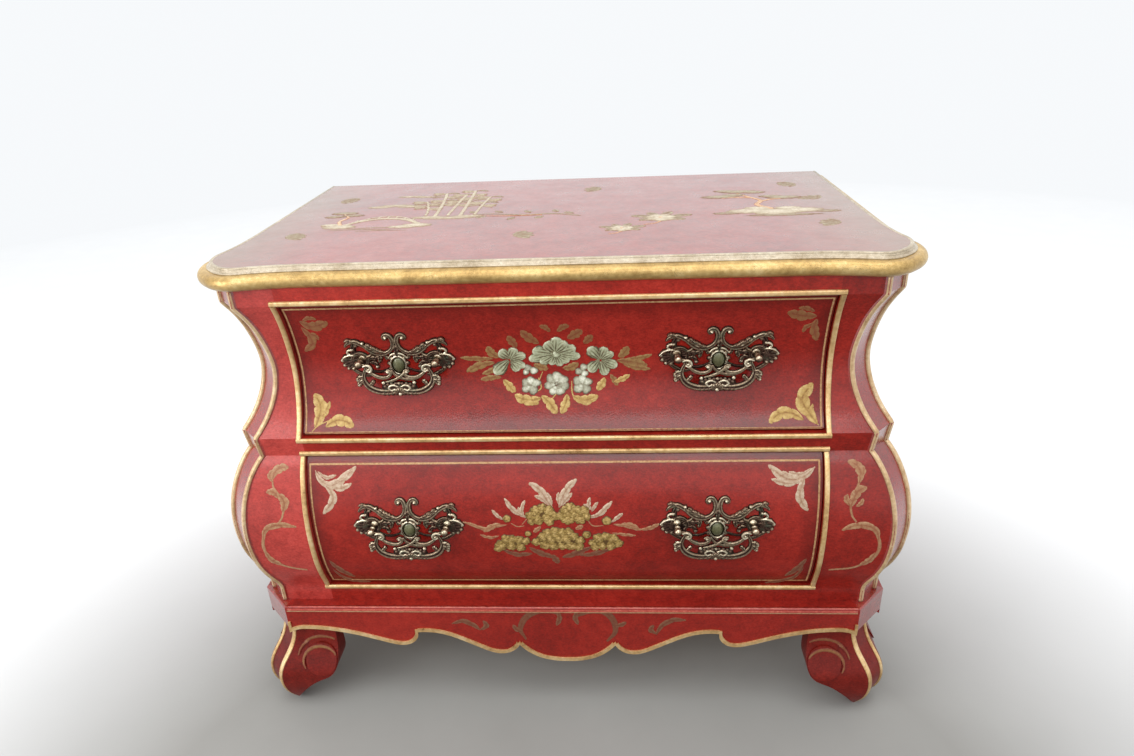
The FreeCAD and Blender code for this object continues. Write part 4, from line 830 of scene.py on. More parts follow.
# painted line round each drawer front, with mitred corners
def painted_line(name, x, z0, z1, inset, w, place, body):
    side, low, high = inset
    r_out, r_in = (x - side, z0 + low, z1 - high), (x - side - w, z0 + low + w, z1 - high - w)
    verts, faces = [], []

    def strip(a, b, c, d, n):
        base = len(verts)
        for i in range(n + 1):
            t = i / n
            verts.append(((1 - t) * a[0] + t * b[0], (1 - t) * a[1] + t * b[1]))
            verts.append(((1 - t) * d[0] + t * c[0], (1 - t) * d[1] + t * c[1]))
        for i in range(n):
            k = base + 2 * i
            faces.append((k, k + 2, k + 3, k + 1))
    xo, lo, hi = r_out
    xi, li, ii = r_in
    strip((-xo, lo), (xo, lo), (xi, li), (-xi, li), 60)
    strip((xo, lo), (xo, hi), (xi, ii), (xi, li), 90)
    strip((xo, hi), (-xo, hi), (-xi, ii), (xi, ii), 60)
    strip((-xo, hi), (-xo, lo), (-xi, li), (-xi, ii), 90)
    p = np.array(verts)
    o = quick_mesh(name, place(p[:, 0], p[:, 1], np.full(len(p), 0.30)), faces, M_LINE, np.full(len(p), 0.75))
    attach(o, body)
    return o


M_LINE = paint("paint_line", [(0.0, (0.24, 0.06, 0.02)), (0.34, (0.32, 0.14, 0.055)), (0.66, (0.46, 0.26, 0.115)), (1.0, (0.58, 0.38, 0.19))], rub=0.80, metal=0.1)
painted_line("upper_gold_line", 361.5, 470.1, 661.1, (2.4, 1.6, 4.6), 2.4, PL_UP, "upper_drawer")
painted_line("lower_gold_line", 361.5, 218.0, 438.0, (3.2, 4.6, 9.8), 2.4, PL_LO, "lower_drawer")


# ------------------------------------------------------------------ pulls
m = Mat("cabochon_olive", Metallic=0.35, Coat_Weight=0.6, Coat_Roughness=0.12)
m.set(Base_Color=m.ramp(m.math("ADD", m.attribute("tone"), m.math("MULTIPLY", m.math("SUBTRACT", m.noise(300.0, 3.0), 0.5), 0.5)),
                        [(0.1, (0.018, 0.016, 0.006)), (0.5, (0.070, 0.072, 0.028)), (1.0, (0.20, 0.20, 0.10))]),
      Roughness=m.span(m.noise(200.0, 3.0), 0.3, 0.7, 0.25, 0.45), Normal=m.bump(m.noise(500.0, 2.0), 0.15, 0.0005))
M_CAB = m.m


def plate_relief():
    r = Relief(-86, 86, -36, 50, 0.6)
    tone = (0.10, 1.0)
    low = (0.02, 0.62)
    # frame and cabochon
    ring = [(10.6 * math.cos(a), -7.0 + 13.4 * math.sin(a)) for a in np.linspace(0, 2 * math.pi, 25)]
    for k in range(11):
        a = 2 * math.pi * (k + 0.25) / 11
        r.blob(12.6 * math.cos(a), -7.0 + 15.4 * math.sin(a), 3.6, 2.9, (0.05, 0.85))
    r.stroke(ring, 2.0, 3.9, (0.35, 1.0))
    for s in (-1, 1):
        # finial scrolls that run down into the arms, and horns
        r.stroke([(s * 10.6, 34.0), (s * 14.0, 33.6), (s * 15.0, 37.2), (s * 11.6, 40.6), (s * 6.6, 39.6), (s * 3.6, 34.0), (s * 3.0, 27.0),
                  (s * 5.4, 19.6), (s * 11.6, 13.6), (s * 20.0, 10.8), (s * 30.0, 12.6), (s * 39.0, 18.6), (s * 45.0, 24.4)],
                 [1.8, 2.4, 3.2, 3.7, 3.6, 3.2, 3.0, 3.3, 3.9, 4.2, 4.0, 3.5, 2.6], 4.7, tone, groove=0.55)
        r.blob(s * 11.4, 36.2, 2.8, 5.2, (0.3, 1.0))
        r.leaf([(s * 16.0, 13.0), (s * 24.0, 15.0), (s * 30.0, 19.0)], 2.6, 4.7, teeth=2, tone=tone)
        r.leaf([(s * 22, 14.0), (s * 29, 18.5), (s * 33.5, 22.0)], 3.0, 4.8, teeth=2, tone=tone)
        r.leaf([(s * 30, 17.0), (s * 37, 23.0), (s * 41, 27.5)], 3.2, 4.9, teeth=2, tone=tone)
        r.stroke([(s * 42, 21), (s * 48, 26.6), (s * 55, 30.4), (s * 62, 30.0), (s * 68.0, 26.4), (s * 70.4, 23.0)], [2.6, 3.5, 3.9, 3.6, 2.7, 1.6], 4.8, tone, groove=0.6)
        r.leaf([(s * 56, 28), (s * 63, 33.0), (s * 70, 31.5)], 2.6, 4.9, teeth=2, tone=tone)
        r.blob(s * 45.0, 28.0, 3.1, 4.8, (0.25, 1.0))
        r.blob(s * 55.0, 24.0, 3.2, 3.8, (0.1, 0.7))
        r.stroke([(s * 57, 28), (s * 60.0, 21), (s * 60, 14), (s * 57.5, 8)], [3.0, 3.7, 3.8, 3.4], 4.2, low, groove=0.8)
        r.stroke([(s * 61, 18), (s * 66.6, 17.0), (s * 69.0, 13.0), (s * 65.8, 10.4)], [2.6, 2.6, 2.3, 1.8], 3.9, tone)
        # shell boss behind the post
        r.blob(s * 52.7, 1.0, 12.6, 1.6, (0.0, 0.30))
        rim = [(s * (52.7 + 11.0 * math.cos(a)), 1.0 + 10.6 * math.sin(a)) for a in np.linspace(math.radians(-70), math.radians(228), 16)]
        r.stroke(rim, [1.7, 2.7, 3.1, 2.8, 2.0], 4.2, (0.05, 0.85), groove=0.6)
        r.stroke([(s * 42, 6.5), (s * 37.0, 9.0), (s * 35.4, 13.0), (s * 39.0, 15.4)], [2.4, 2.4, 2.1, 1.7], 3.8, (0.05, 0.8))
        for k in range(7):
            a = math.radians(10 + 30 * k)
            r.stroke([(s * (52.7 + 3.4 * math.cos(a)), 1 + 3.4 * math.sin(a)), (s * (52.7 + 9.2 * math.cos(a)), 1 + 8.8 * math.sin(a))], [0.9, 1.6], 2.6, (0.0, 0.62))
        # ribbed leaf at the tip
        for ang, ln, wd in ((28, 19.0, 5.6), (6, 21.5, 5.4), (-15, 20.0, 5.2), (-37, 17.5, 5.0), (-60, 13.0, 4.4)):
            a = math.radians(ang)
            b = (s * 58.0, -1.5)
            e = (b[0] + s * ln * math.cos(a), b[1] + ln * math.sin(a))
            r.leaf([b, ((b[0] + e[0]) / 2, (b[1] + e[1]) / 2 + 0.8), e], wd, 3.4, notch=0.05, teeth=2, tone=(0.0, 0.66))
            r.blob(e[0] - s * 1.8 * math.cos(a), e[1] - 1.6 * math.sin(a), 3.3, 3.9, (0.10, 0.88))
        r.stroke([(s * 60, 9.0), (s * 67, 9.2), (s * 74, 6.8), (s * 79.4, 1.4)], [1.6, 2.1, 2.0, 1.4], 4.3, (0.3, 1.0))
        # lower edge from the leaf under the boss to the frame
        r.stroke([(s * 70, -9), (s * 63.5, -14.0), (s * 56, -19), (s * 48, -22.4), (s * 40, -21.6)], [1.8, 2.7, 3.0, 2.8, 2.0], 3.2, (0.05, 0.85), groove=0.5)
        r.stroke([(s * 46, -10), (s * 40, -15), (s * 31, -17.5), (s * 22, -16.5), (s * 14, -13.0)], [1.8, 2.0, 2.0, 1.9, 1.7], 2.2, (0.0, 0.5), groove=0.4)
        # small leaves between boss and frame
        r.leaf([(s * 43, 0.5), (s * 36.5, 4.0), (s * 30.5, 3.6), (s * 25.0, 7.0)], 4.0, 3.4, teeth=3, tone=(0.05, 0.8))
        r.leaf([(s * 26.0, 12.0), (s * 24.2, 5.0), (s * 26.4, -4.0)], 3.6, 4.0, teeth=3, tone=tone)
        r.leaf([(s * 20.5, 10.0), (s * 16.4, 7.0), (s * 14.6, 1.0)], 3.0, 3.8, teeth=2, tone=tone)
        r.leaf([(s * 41.0, -3.5), (s * 34.0, -3.5), (s * 28.5, -8.5)], 3.4, 3.0, teeth=2, tone=(0.05, 0.8))
        r.blob(s * 30.0, -9.6, 3.2, 3.4, (0.2, 0.95))
        r.stroke([(s * 13, 3.0), (s * 8.0, 9.0), (s * 2.0, 11.0)], [1.8, 2.3, 2.4], 3.4, tone)
    r.leaf([(0, 6), (0, 13), (0, 24)], 3.6, 4.6, teeth=3, tone=(0.05, 0.8))
    return r


def cabochon_relief():
    r = Relief(-12, 12, -23, 9, 0.5)
    r.blob(0, -7.0, 8.8, 4.6, (0.15, 0.95), rv=11.4)
    return r


def bail_relief():
    r = Relief(-64, 64, -52, 8, 0.6)
    tone = (0.12, 1.0)
    for s in (-1, 1):
        r.stroke([(s * 47.6, 0), (s * 44, -0.6), (s * 43.4, -6), (s * 46.2, -12), (s * 48.0, -19.5), (s * 46.4, -27), (s * 41.8, -33.4), (s * 34.6, -38.2),
                  (s * 26, -40.8), (s * 17, -41.2), (s * 9, -40.2)], [1.8, 2.1, 2.4, 3.0, 3.9, 4.7, 5.0, 4.9, 4.7, 4.4, 4.0], 3.5, tone, groove=0.8)
        r.stroke([(s * 46.5, -2.0), (s * 41.5, -0.4), (s * 36.6, -2.4), (s * 35.2, -7), (s * 38.0, -10.4), (s * 41.8, -8.8)], [1.8, 2.4, 2.6, 2.4, 2.1, 1.7], 3.5, tone)
        r.blob(s * 39.2, -6.6, 2.4, 3.3, (0.4, 1.0))
        r.leaf([(s * 47.5, -17), (s * 53.0, -19.0), (s * 57.6, -24.0)], 4.2, 3.3, teeth=2, tone=tone)
        r.leaf([(s * 48, -22), (s * 53.0, -26.0), (s * 56.6, -31.0)], 4.2, 3.3, teeth=2, tone=tone)
        r.blob(s * 55.4, -29.6, 3.0, 3.4, (0.35, 1.0))
        r.blob(s * 56.4, -22.6, 2.8, 3.3, (0.35, 1.0))
        r.leaf([(s * 40, -30.5), (s * 36.4, -26.6), (s * 33.0, -23.0)], 3.2, 2.9, teeth=2, tone=tone)
        r.stroke([(s * 38.5, -9.5), (s * 34.6, -13.6), (s * 29, -17.2), (s * 22.4, -19.2), (s * 15.6, -18.6), (s * 10.6, -15.4), (s * 9.4, -11.0), (s * 12.2, -8.4), (s * 15.6, -10.0)],
                 [2.0, 2.6, 2.9, 2.9, 2.8, 2.6, 2.4, 2.2, 1.8], 3.2, tone, groove=0.35)
        r.blob(s * 13.2, -11.0, 2.7, 3.4, (0.45, 1.0))
        r.blob(s * 21.4, -27.0, 3.1, 3.3, (0.45, 1.0))
        # ruffled shell in the middle
        r.stroke([(s * 2.5, -33.0), (s * 7.5, -30.6), (s * 12.6, -31.8), (s * 14.6, -35.6), (s * 11.0, -38.8), (s * 7.0, -36.6)], [1.6, 2.1, 2.2, 2.2, 1.9, 1.4], 3.4, tone)
        for k, (x, z) in enumerate(((4.6, -28.0), (10.2, -28.2), (15.6, -29.4), (20.0, -32.5))):
            r.blob(s * x, z, 2.8, 3.0 - 0.3 * (k % 2), (0.0, 0.66))
        for k, (x, z) in enumerate(((5.4, -43.4), (11.0, -43.6), (16.8, -43.6), (22.4, -43.6))):
            r.blob(s * x, z, 3.2, 2.9, (0.0, 0.62))
    r.stroke([(-7.0, -9.0), (-3.5, -14.5), (2.5, -18.8), (11, -21.4), (21, -21.4), (30, -18.2)], [1.6, 2.3, 2.4, 2.5, 2.5, 2.2], 3.3, (0.15, 0.85), groove=0.3)
    r.stroke([(-17.0, -25.4), (-9.0, -23.4), (0.5, -19.4), (8.0, -13.6), (15.5, -8.0)], [1.5, 2.4, 2.5, 2.4, 1.6], 3.7, (0.15, 0.95), groove=0.25)
    r.stroke([(-18, -35.5), (0, -37), (18, -35.5)], 7.0, 1.9, (0.0, 0.40))
    r.blob(0, -27.8, 2.8, 3.2, (0.15, 0.9))
    for a in (40, 65, 90, 115, 140):
        c, s_ = math.cos(math.radians(a)), math.sin(math.radians(a))
        r.leaf([(1.5 * c, -43.0 + 1.5 * s_), (5 * c, -43.0 + 5 * s_), (9.6 * c, -43.0 + 9.2 * s_)], 2.2, 3.7, notch=0.05, teeth=1, tone=(0.2, 1.0))
    r.blob(0, -44.4, 3.2, 3.6, (0.3, 1.0))
    return r


def turned(name, parts, profile_mm, mat, body, seg=28):
    """Turned pieces, one at each place, along -y: profile is (distance in front of the place, radius) in mm."""
    verts, faces = [], []
    for cx, cy, cz in parts:
        base = len(verts)
        for d, rad in profile_mm:
            for k in range(seg):
                a = 2 * math.pi * k / seg
                verts.append(((cx + rad * math.cos(a)) * MM, (cy - d) * MM, (cz + rad * math.sin(a)) * MM))
        for i in range(len(profile_mm) - 1):
            for k in range(seg):
                k2 = (k + 1) % seg
                faces.append((base + i * seg + k, base + i * seg + k2, base + (i + 1) * seg + k2, base + (i + 1) * seg + k))
        faces.append(tuple(base + k for k in range(seg))[::-1])
        faces.append(tuple(base + (len(profile_mm) - 1) * seg + k for k in range(seg)))
    me = bpy.data.meshes.new(name)
    me.from_pydata(verts, [], faces)
    me.materials.append(mat)
    me.polygons.foreach_set("use_smooth", [len(p.vertices) == 4 for p in me.polygons])
    me.update()
    o = bpy.data.objects.new(name, me)
    scene.collection.objects.link(o)
    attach(o, body)
    return o


PLATE, BAIL, CABOCHON = plate_relief(), bail_relief(), cabochon_relief()
PLATE_X, PLATE_DZ = 219.5, -3.0
PULL_X, PULL_Z = 216.0, {"upper": 573.5, "lower": 341.5}
PIVOT_Y = {"upper": -220.71, "lower": -284.922}
for level, table in (("upper", FACE_UP), ("lower", FACE_LO)):
    for side, s in (("left", -1), ("right", 1)):
        PLATE.piece(f"{level}_backplate_{side}", front_place(table, s * PLATE_X, PULL_Z[level] + PLATE_DZ), M_BRASS, level + "_drawer", "hardware",
                                  sink=0.25, soften=1)
        CABOCHON.piece(f"{level}_cabochon_{side}", front_place(table, s * PLATE_X, PULL_Z[level] + PLATE_DZ), M_CAB, level + "_drawer", "hardware", sink=0.0)

        def on_pivot(u, v, h, s=s, level=level):
            return np.stack([(u + s * PULL_X) * MM, PIVOT_Y[level] * MM - h * MM, (v + PULL_Z[level]) * MM], 1)
        b = BAIL.closed(f"bail_cast_{level}_{side}", on_pivot, M_BRASS, f"bail_{level}_{side}", "hardware")
        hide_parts(f"bail_{level}_{side}")
    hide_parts(level + "_plates")
    spots = [(s * PULL_X + t * 52.7, PIVOT_Y[level], PULL_Z[level]) for s in (-1, 1) for t in (-1, 1)]
    ball = [(-21.5, 5.6), (-19.6, 6.0), (-18.6, 5.0), (-17.4, 3.4), (-14.0, 2.7), (-10.5, 3.0), (-9.4, 4.2), (-8.4, 4.4), (-7.4, 3.4), (-6.0, 2.9), (-4.9, 3.2)]
    ball += [(-5.4 * math.cos(a), 5.4 * math.sin(a)) for a in np.linspace(0.72, math.pi - 0.06, 12)]
    posts = turned(f"{level}_ball_posts", spots, ball, M_BRASS_PLAIN, level + "_drawer")
    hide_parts(level + "_pull_posts")


# ------------------------------------------------------------------ gilt beads on the canted corners
def tube(name, path, normals, width, height, mat, body, n=14, power=2.4, sink=0.6):
    """Half-round moulding on a line: path points and outward normals in metres, width is the half width in mm."""
    path, normals = np.asarray(path, float), np.asarray(normals, float)
    tan = np.gradient(path, axis=0)
    tan /= np.linalg.norm(tan, axis=1)[:, None]
    side = np.cross(tan, normals)
    side /= np.linalg.norm(side, axis=1)[:, None]
    nor = np.cross(side, tan)
    nor /= np.linalg.norm(nor, axis=1)[:, None]
    nor *= np.sign((nor * normals).sum(1))[:, None]
    ang = np.linspace(0, math.pi, n + 1)
    prof = [(np.sign(math.cos(a)) * abs(math.cos(a)) ** (2 / power), height * abs(math.sin(a)) ** (2 / power)) for a in ang]
    prof += [(-1.0, -sink), (1.0, -sink)]
    k = len(prof)
    ws = np.interp(np.linspace(0, 1, len(path)), np.linspace(0, 1, np.size(width)), np.atleast_1d(width))
    verts = np.concatenate([[p + (side[i] * a * ws[i] + nor[i] * b) * MM for a, b in prof] for i, p in enumerate(path)])
    faces = []
    for i in range(len(path) - 1):
        for j in range(k):
            j2 = (j + 1) % k
            faces.append((i * k + j, i * k + j2, (i + 1) * k + j2, (i + 1) * k + j))
    me = bpy.data.meshes.new(name)
    faces += [tuple(range(k))[::-1], tuple((len(path) - 1) * k + j for j in range(k))]
    me.from_pydata([tuple(v) for v in verts], [], faces)
    me.materials.append(mat)
    me.validate()
    bm = bmesh.new()
    bm.from_mesh(me)
    bmesh.ops.recalc_face_normals(bm, faces=bm.faces)
    bm.to_mesh(me)
    bm.free()
    me.polygons.foreach_set("use_smooth", [len(p.vertices) == 4 for p in me.polygons])
    o = bpy.data.objects.new(name, me)
    scene.collection.objects.link(o)
    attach(o, body)
    return o


R2 = math.sqrt(2.0)
for side, s in (("left", -1), ("right", 1)):
    t = tree("post_" + side)
    out = Vector((s / R2, -1 / R2, 0))
    for label, v in (("inner", 3.5), ("outer", 33.5 * R2 - 3.5)):
        pts = []
        for z in np.arange(188.0, 687.5, 3.0):
            on = Vector((s * (418.5 + v / R2) * MM, (v / R2 + Y_SHIFT) * MM, z * MM))
            hit = t.ray_cast(on + out * 0.3, -out)
            if hit[0] is not None:
                pts.append(hit[0] - out * 3.0 * MM)
        tube(f"post_bead_{label}_{side}", pts, [out] * len(pts), 3.85, 3.65, M_EDGE, "carcass")


# foot beads, on both arrises of the canted face of each front foot
for side, s in (("left", -1), ("right", 1)):
    t = tree("foot_front_" + side)
    out = Vector((s / R2, -1 / R2, 0))
    for label, tau, wide in (("inner", 4.4, [2.4, 4.0, 4.6, 5.0, 5.0]), ("outer", 28.2, [2.0, 2.6, 3.0, 3.2, 3.2])):
        c = 399.5 + 2 * tau
        pts = []
        for z in np.arange(5.0, 149.0, 3.0):
            on = Vector((s * (c / 2 + 300) * MM, (c / 2 - 300 + Y_SHIFT) * MM, z * MM))
            hit = t.ray_cast(on, -out)
            if hit[0] is not None:
                pts.append(hit[0])
        tube(f"foot_bead_{label}_{side}", pts, [out] * len(pts), wide, 2.3, M_BEAD, "carcass")
    # painted rings round the volute on the front of the foot
    zs, ys = profile("foot_front_" + side, s * 389.0, 12.0, 143.0)

    def on_foot(u, v, h, zs=zs, ys=ys):
        y = np.interp(v, zs, ys)
        return np.stack([u * MM, y - (h + 0.15) * MM, v * MM], 1)
    ring = Relief(-432 if s < 0 else 346, -346 if s < 0 else 432, 14, 140, 0.8)
    arc = [(s * (391 - 27.0 * math.cos(math.radians(q))), 89 + 20.5 * math.sin(math.radians(q))) for q in range(208, 14, -13)]
    ring.stroke(arc, [0.8, 1.8, 2.4, 2.4, 2.0, 1.0], 0.5, (0.0, 0.50))
    arc = [(s * (388 - 39.0 * math.cos(math.radians(q))), 91 + 33.0 * math.sin(math.radians(q))) for q in range(168, 54, -12)]
    ring.stroke(arc, [0.8, 1.8, 2.4, 1.2], 0.5, (0.0, 0.42))
    ring.piece("foot_scroll_" + side, on_foot, P_OLIVE, "carcass", "lacquer", sink=0.1)


# ------------------------------------------------------------------ top with its softly rounded corners
def top_path():
    """Right half of the edge of the top in construction millimetres, middle of the front to the rear corner."""
    front = spline([(290.0, 15.2), (320.0, 15.0), (345.0, 14.0), (370.0, 11.6), (395.0, 7.2), (421.0, 1.0)], 16)
    cant = np.linspace((421.0, 1.0), (465.0, 43.5), 60)
    end = spline([(465.0, 43.5), (462.0, 60.0), (457.6, 78.0), (453.8, 98.0), (450.8, 125.0), (449.2, 155.0), (448.5, 190.0)], 16)

    def cut(line, length, last):
        d = np.concatenate([[0], np.cumsum(np.hypot(*np.diff(line, axis=0).T))])
        at = d[-1] - length if last else length
        p = np.array([np.interp(at, d, line[:, i]) for i in (0, 1)])
        q = np.array([np.interp(at + 1.0, d, line[:, i]) for i in (0, 1)]) - p
        keep = line[d < at] if last else line[d > at]
        return p, q / np.hypot(*q), keep

    def bend(p0, t0, p1, t1):
        m = 1.067 * np.hypot(*(p1 - p0))
        u = np.linspace(0, 1, 15)[:, None]
        return p0 * (2 * u ** 3 - 3 * u ** 2 + 1) + t0 * m * (u ** 3 - 2 * u ** 2 + u) + p1 * (3 * u ** 2 - 2 * u ** 3) + t1 * m * (u ** 3 - u ** 2)

    p0, t0, front = cut(front, 20.0, True)
    p1, t1, mid = cut(cant, 20.0, False)
    p2, t2, mid = cut(mid, 32.0, True)
    p3, t3, end = cut(end, 32.0, False)
    return np.vstack([[(0.0, 15.2), (150.0, 15.2)], front, bend(p0, t0, p1, t1), mid, bend(p2, t2, p3, t3), end, [(448.5, 350.0), (448.5, 523.0)]])


half = top_path()
edge = np.vstack([half[::-1], half[1:] * (-1, 1)])
tang = np.gradient(edge, axis=0)
tang /= np.hypot(tang[:, 0], tang[:, 1])[:, None]
outw = np.stack([-tang[:, 1], tang[:, 0]], 1)
if outw[len(edge) // 2][1] > 0:
    outw = -outw
outw[0], outw[-1] = (1, 0), (-1, 0)


def edge_sweep(name, section, mat, node):
    k = len(section)
    verts = []
    for (x, y), (nx, ny) in zip(edge, outw):
        verts += [P(x + nx * o, min(y + ny * o, 523.0), z) for o, z in section]
    faces = [(i * k + j, i * k + (j + 1) % k, (i + 1) * k + (j + 1) % k, (i + 1) * k + j) for i in range(len(edge) - 1) for j in range(k)]
    faces += [tuple(range(k)), tuple((len(edge) - 1) * k + j for j in range(k))]
    me = bpy.data.meshes.new(name)
    me.from_pydata([tuple(v) for v in verts], [], faces)
    me.materials.append(mat)
    bm = bmesh.new()
    bm.from_mesh(me)
    bmesh.ops.recalc_face_normals(bm, faces=bm.faces)
    bm.to_mesh(me)
    bm.free()
    me.polygons.foreach_set("use_smooth", [len(p.vertices) == 4 for p in me.polygons])
    me.update()
    o = bpy.data.objects.new(name, me)
    scene.collection.objects.link(o)
    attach(o, "carcass")
    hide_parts(node)
    return o


round_nose = [(10.0 + 10.0 * math.cos(math.radians(a)), 698.0 + 10.0 * math.sin(math.radians(a))) for a in range(90, -91, -10)]
edge_sweep("top_nose_rounded", [(-3.0, 708.0), (-2.9, 708.0), (9.0, 708.0)] + round_nose + [(9.0, 688.0), (-2.9, 688.0), (-3.0, 688.0)], M_GILT, "top_bullnose")
edge_sweep("top_moulding_rounded", [(-3.0, 715.5), (-2.9, 715.6), (-0.2, 715.9), (0.8, 715.8), (1.7, 715.2), (2.1, 714.3), (2.0, 713.5), (2.1, 713.3),
                                    (3.0, 713.1), (3.5, 712.3), (3.7, 711.4), (4.4, 710.6), (5.6, 710.2), (6.5, 709.5), (6.8, 708.6), (6.4, 707.9), (-2.9, 707.9), (-3.0, 708.0)], M_PALE, "top_upper_moulding")
n = len(edge)
verts = [P(x, y, 715.5) for x, y in edge] + [P(x, y, 688.0) for x, y in edge]
board = bpy.data.meshes.new("top_board_rounded")
board.from_pydata([tuple(v) for v in verts], [], [tuple(range(n)), tuple(range(2 * n - 1, n - 1, -1))] + [(i, (i + 1) % n, n + (i + 1) % n, n + i) for i in range(n)])
board.materials.append(M_TOP)
bm = bmesh.new()
bm.from_mesh(board)
bmesh.ops.triangulate(bm, faces=[f for f in bm.faces if len(f.verts) > 4])
bmesh.ops.recalc_face_normals(bm, faces=bm.faces)
bm.to_mesh(board)
bm.free()
o = bpy.data.objects.new("top_board_rounded", board)
scene.collection.objects.link(o)
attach(o, "carcass")
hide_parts("top_board")

# lighter lip along the upper edge of the plinth, a painted sheen, with a painted highlight along its arris
lip = [(-33.5, 187.1), (-31.0, 187.9), (-34.0, 185.6), (-35.5, 181.0), (-35.7, 179.6), (-35.2, 178.7), (-34.3, 178.2)]
verts, faces = [], []
stations = [-431.0 + 862.0 * i / 120 for i in range(121)]
for x in stations:
    verts += [P(x, y, z) for y, z in lip]
k = len(lip)
faces = [(i * k + j, i * k + (j + 1) % k, (i + 1) * k + (j + 1) % k, (i + 1) * k + j) for i in range(120) for j in range(k)]
faces += [tuple(range(k)), tuple(120 * k + j for j in range(k))]
me = bpy.data.meshes.new("plinth_lip")
me.from_pydata([tuple(v) for v in verts], [], faces)
bm = bmesh.new()
bm.from_mesh(me)
bmesh.ops.recalc_face_normals(bm, faces=bm.faces)
bm.to_mesh(me)
bm.free()
me.materials.append(M_LIP_SHEEN)
me.polygons.foreach_set("use_smooth", [len(q.vertices) == 4 for q in me.polygons])
o = bpy.data.objects.new("plinth_lip", me)
scene.collection.objects.link(o)
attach(o, "carcass")
# painted highlight: a thin tan line along the arris of the plinth lip
arris_highlight = Relief(-431, 431, 0, 2.4, 0.8)
arris_highlight.stroke([(-431, 1.2), (-150, 1.3), (150, 1.1), (431, 1.2)], 1.1, 0.3, (0.4, 1.0))


def ledge_place(u, v, h):
    return np.stack([u * MM, (-35.75 + Y_SHIFT - h) * MM, (178.9 + v) * MM], 1)


arris_highlight.piece("plinth_arris_highlight", ledge_place, P_TAN, "carcass", "lacquer", sink=0.1, soften=0)


# ------------------------------------------------------------------ painted landscape on the top
def top_place(u, v, h):
    return np.stack([u * MM, (v + Y_SHIFT) * MM, (715.5 + h) * MM], 1)


P_CREAM = paint("paint_cream", [(0.0, (0.16, 0.075, 0.040)), (0.34, (0.30, 0.22, 0.13)), (0.66, (0.46, 0.39, 0.27)), (1.0, (0.66, 0.60, 0.46))], rub=0.45, rough=0.5)
P_MOSS = paint("paint_moss", [(0.0, (0.16, 0.055, 0.035)), (0.34, (0.22, 0.13, 0.075)), (0.66, (0.30, 0.24, 0.15)), (1.0, (0.42, 0.38, 0.26))], rub=0.60, rough=0.5)
P_ROSE = paint("paint_rose_tan", [(0.0, (0.24, 0.06, 0.035)), (0.34, (0.42, 0.18, 0.10)), (0.66, (0.60, 0.36, 0.20)), (1.0, (0.78, 0.60, 0.38))], rub=0.40, rough=0.5)

cream = Relief(-420, 420, 90, 480, 1.0)
moss = Relief(-440, 440, 60, 500, 1.1)
rose = Relief(-420, 420, 90, 480, 1.0)
# (drawn the other way round and turned over below) rocks and an old pine
for x, y, rx, ry in ((-362, 232, 34, 15), (-322, 224, 40, 19), (-282, 232, 34, 15), (-344, 246, 22, 11), (-300, 248, 24, 12)):
    cream.blob(x, y, rx, 0.8, (0.15, 0.95), rv=ry, scallop=9, depth=0.16)
for x, y, rx, ry in ((-396, 222, 22, 8), (-250, 222, 24, 8), (-330, 205, 60, 7)):
    moss.blob(x, y, rx, 0.5, (0.1, 0.8), rv=ry, scallop=11, depth=0.18)
rose.stroke([(-318, 246), (-302, 272), (-312, 300), (-296, 330), (-284, 352)], [5.0, 4.2, 3.6, 2.8, 2.0], 0.8, (0.2, 0.9), groove=0.4)
rose.stroke([(-308, 292), (-328, 306), (-346, 310)], [2.8, 2.2, 1.6], 0.7, (0.2, 0.8))
rose.stroke([(-298, 322), (-276, 326), (-256, 322)], [2.4, 2.0, 1.4], 0.7, (0.2, 0.8))
for x, y, rx, ry in ((-352, 318, 30, 12), (-332, 328, 20, 9), (-252, 332, 32, 12), (-276, 342, 20, 9), (-290, 366, 34, 12), (-266, 374, 20, 8), (-312, 360, 20, 9)):
    moss.blob(x, y, rx, 0.9, (0.1, 0.95), rv=ry, scallop=13, depth=0.2)
    cream.blob(x + 4, y + 3, rx * 0.55, 0.75, (0.3, 0.85), rv=ry * 0.45, scallop=9, depth=0.2)
# two flowering sprays between the pine and the middle
for cx, cy, k in ((-150, 208, 1.0), (-92, 152, 0.74)):
    for a, ln in ((20, 46), (62, 36), (118, 40), (164, 50), (200, 38), (-22, 34)):
        c, d = math.cos(math.radians(a)), math.sin(math.radians(a))
        moss.leaf([(cx + 10 * k * c, cy + 9 * k * d), (cx + 0.6 * ln * k * c, cy + 0.6 * ln * k * d + 2), (cx + ln * k * c, cy + ln * k * d)], 8.0 * k, 0.7, notch=0.25, teeth=3)
    for i in range(7):
        b = math.radians(51.4 * i + 15)
        cream.blob(cx + 15 * k * math.cos(b), cy + 13 * k * math.sin(b), 10.5 * k, 0.9, (0.10, 0.80 + 0.15 * (i % 2)), rv=9.5 * k, scallop=5, depth=0.16)
    for i in range(5):
        b = math.radians(72 * i + 30)
        cream.blob(cx + 6.5 * k * math.cos(b), cy + 6 * k * math.sin(b), 6.5 * k, 1.2, (0.15, 0.95), rv=6 * k, scallop=3, depth=0.14)
    rose.blob(cx, cy, 4.5 * k, 1.5, (0.2, 0.9), rv=4 * k, scallop=6, depth=0.2)
    rose.stroke([(cx - 4 * k, cy - 12 * k), (cx + 8 * k, cy - 30 * k), (cx + 26 * k, cy - 38 * k)], [2.0 * k, 1.6 * k, 1.0 * k], 0.6, (0.2, 0.7))
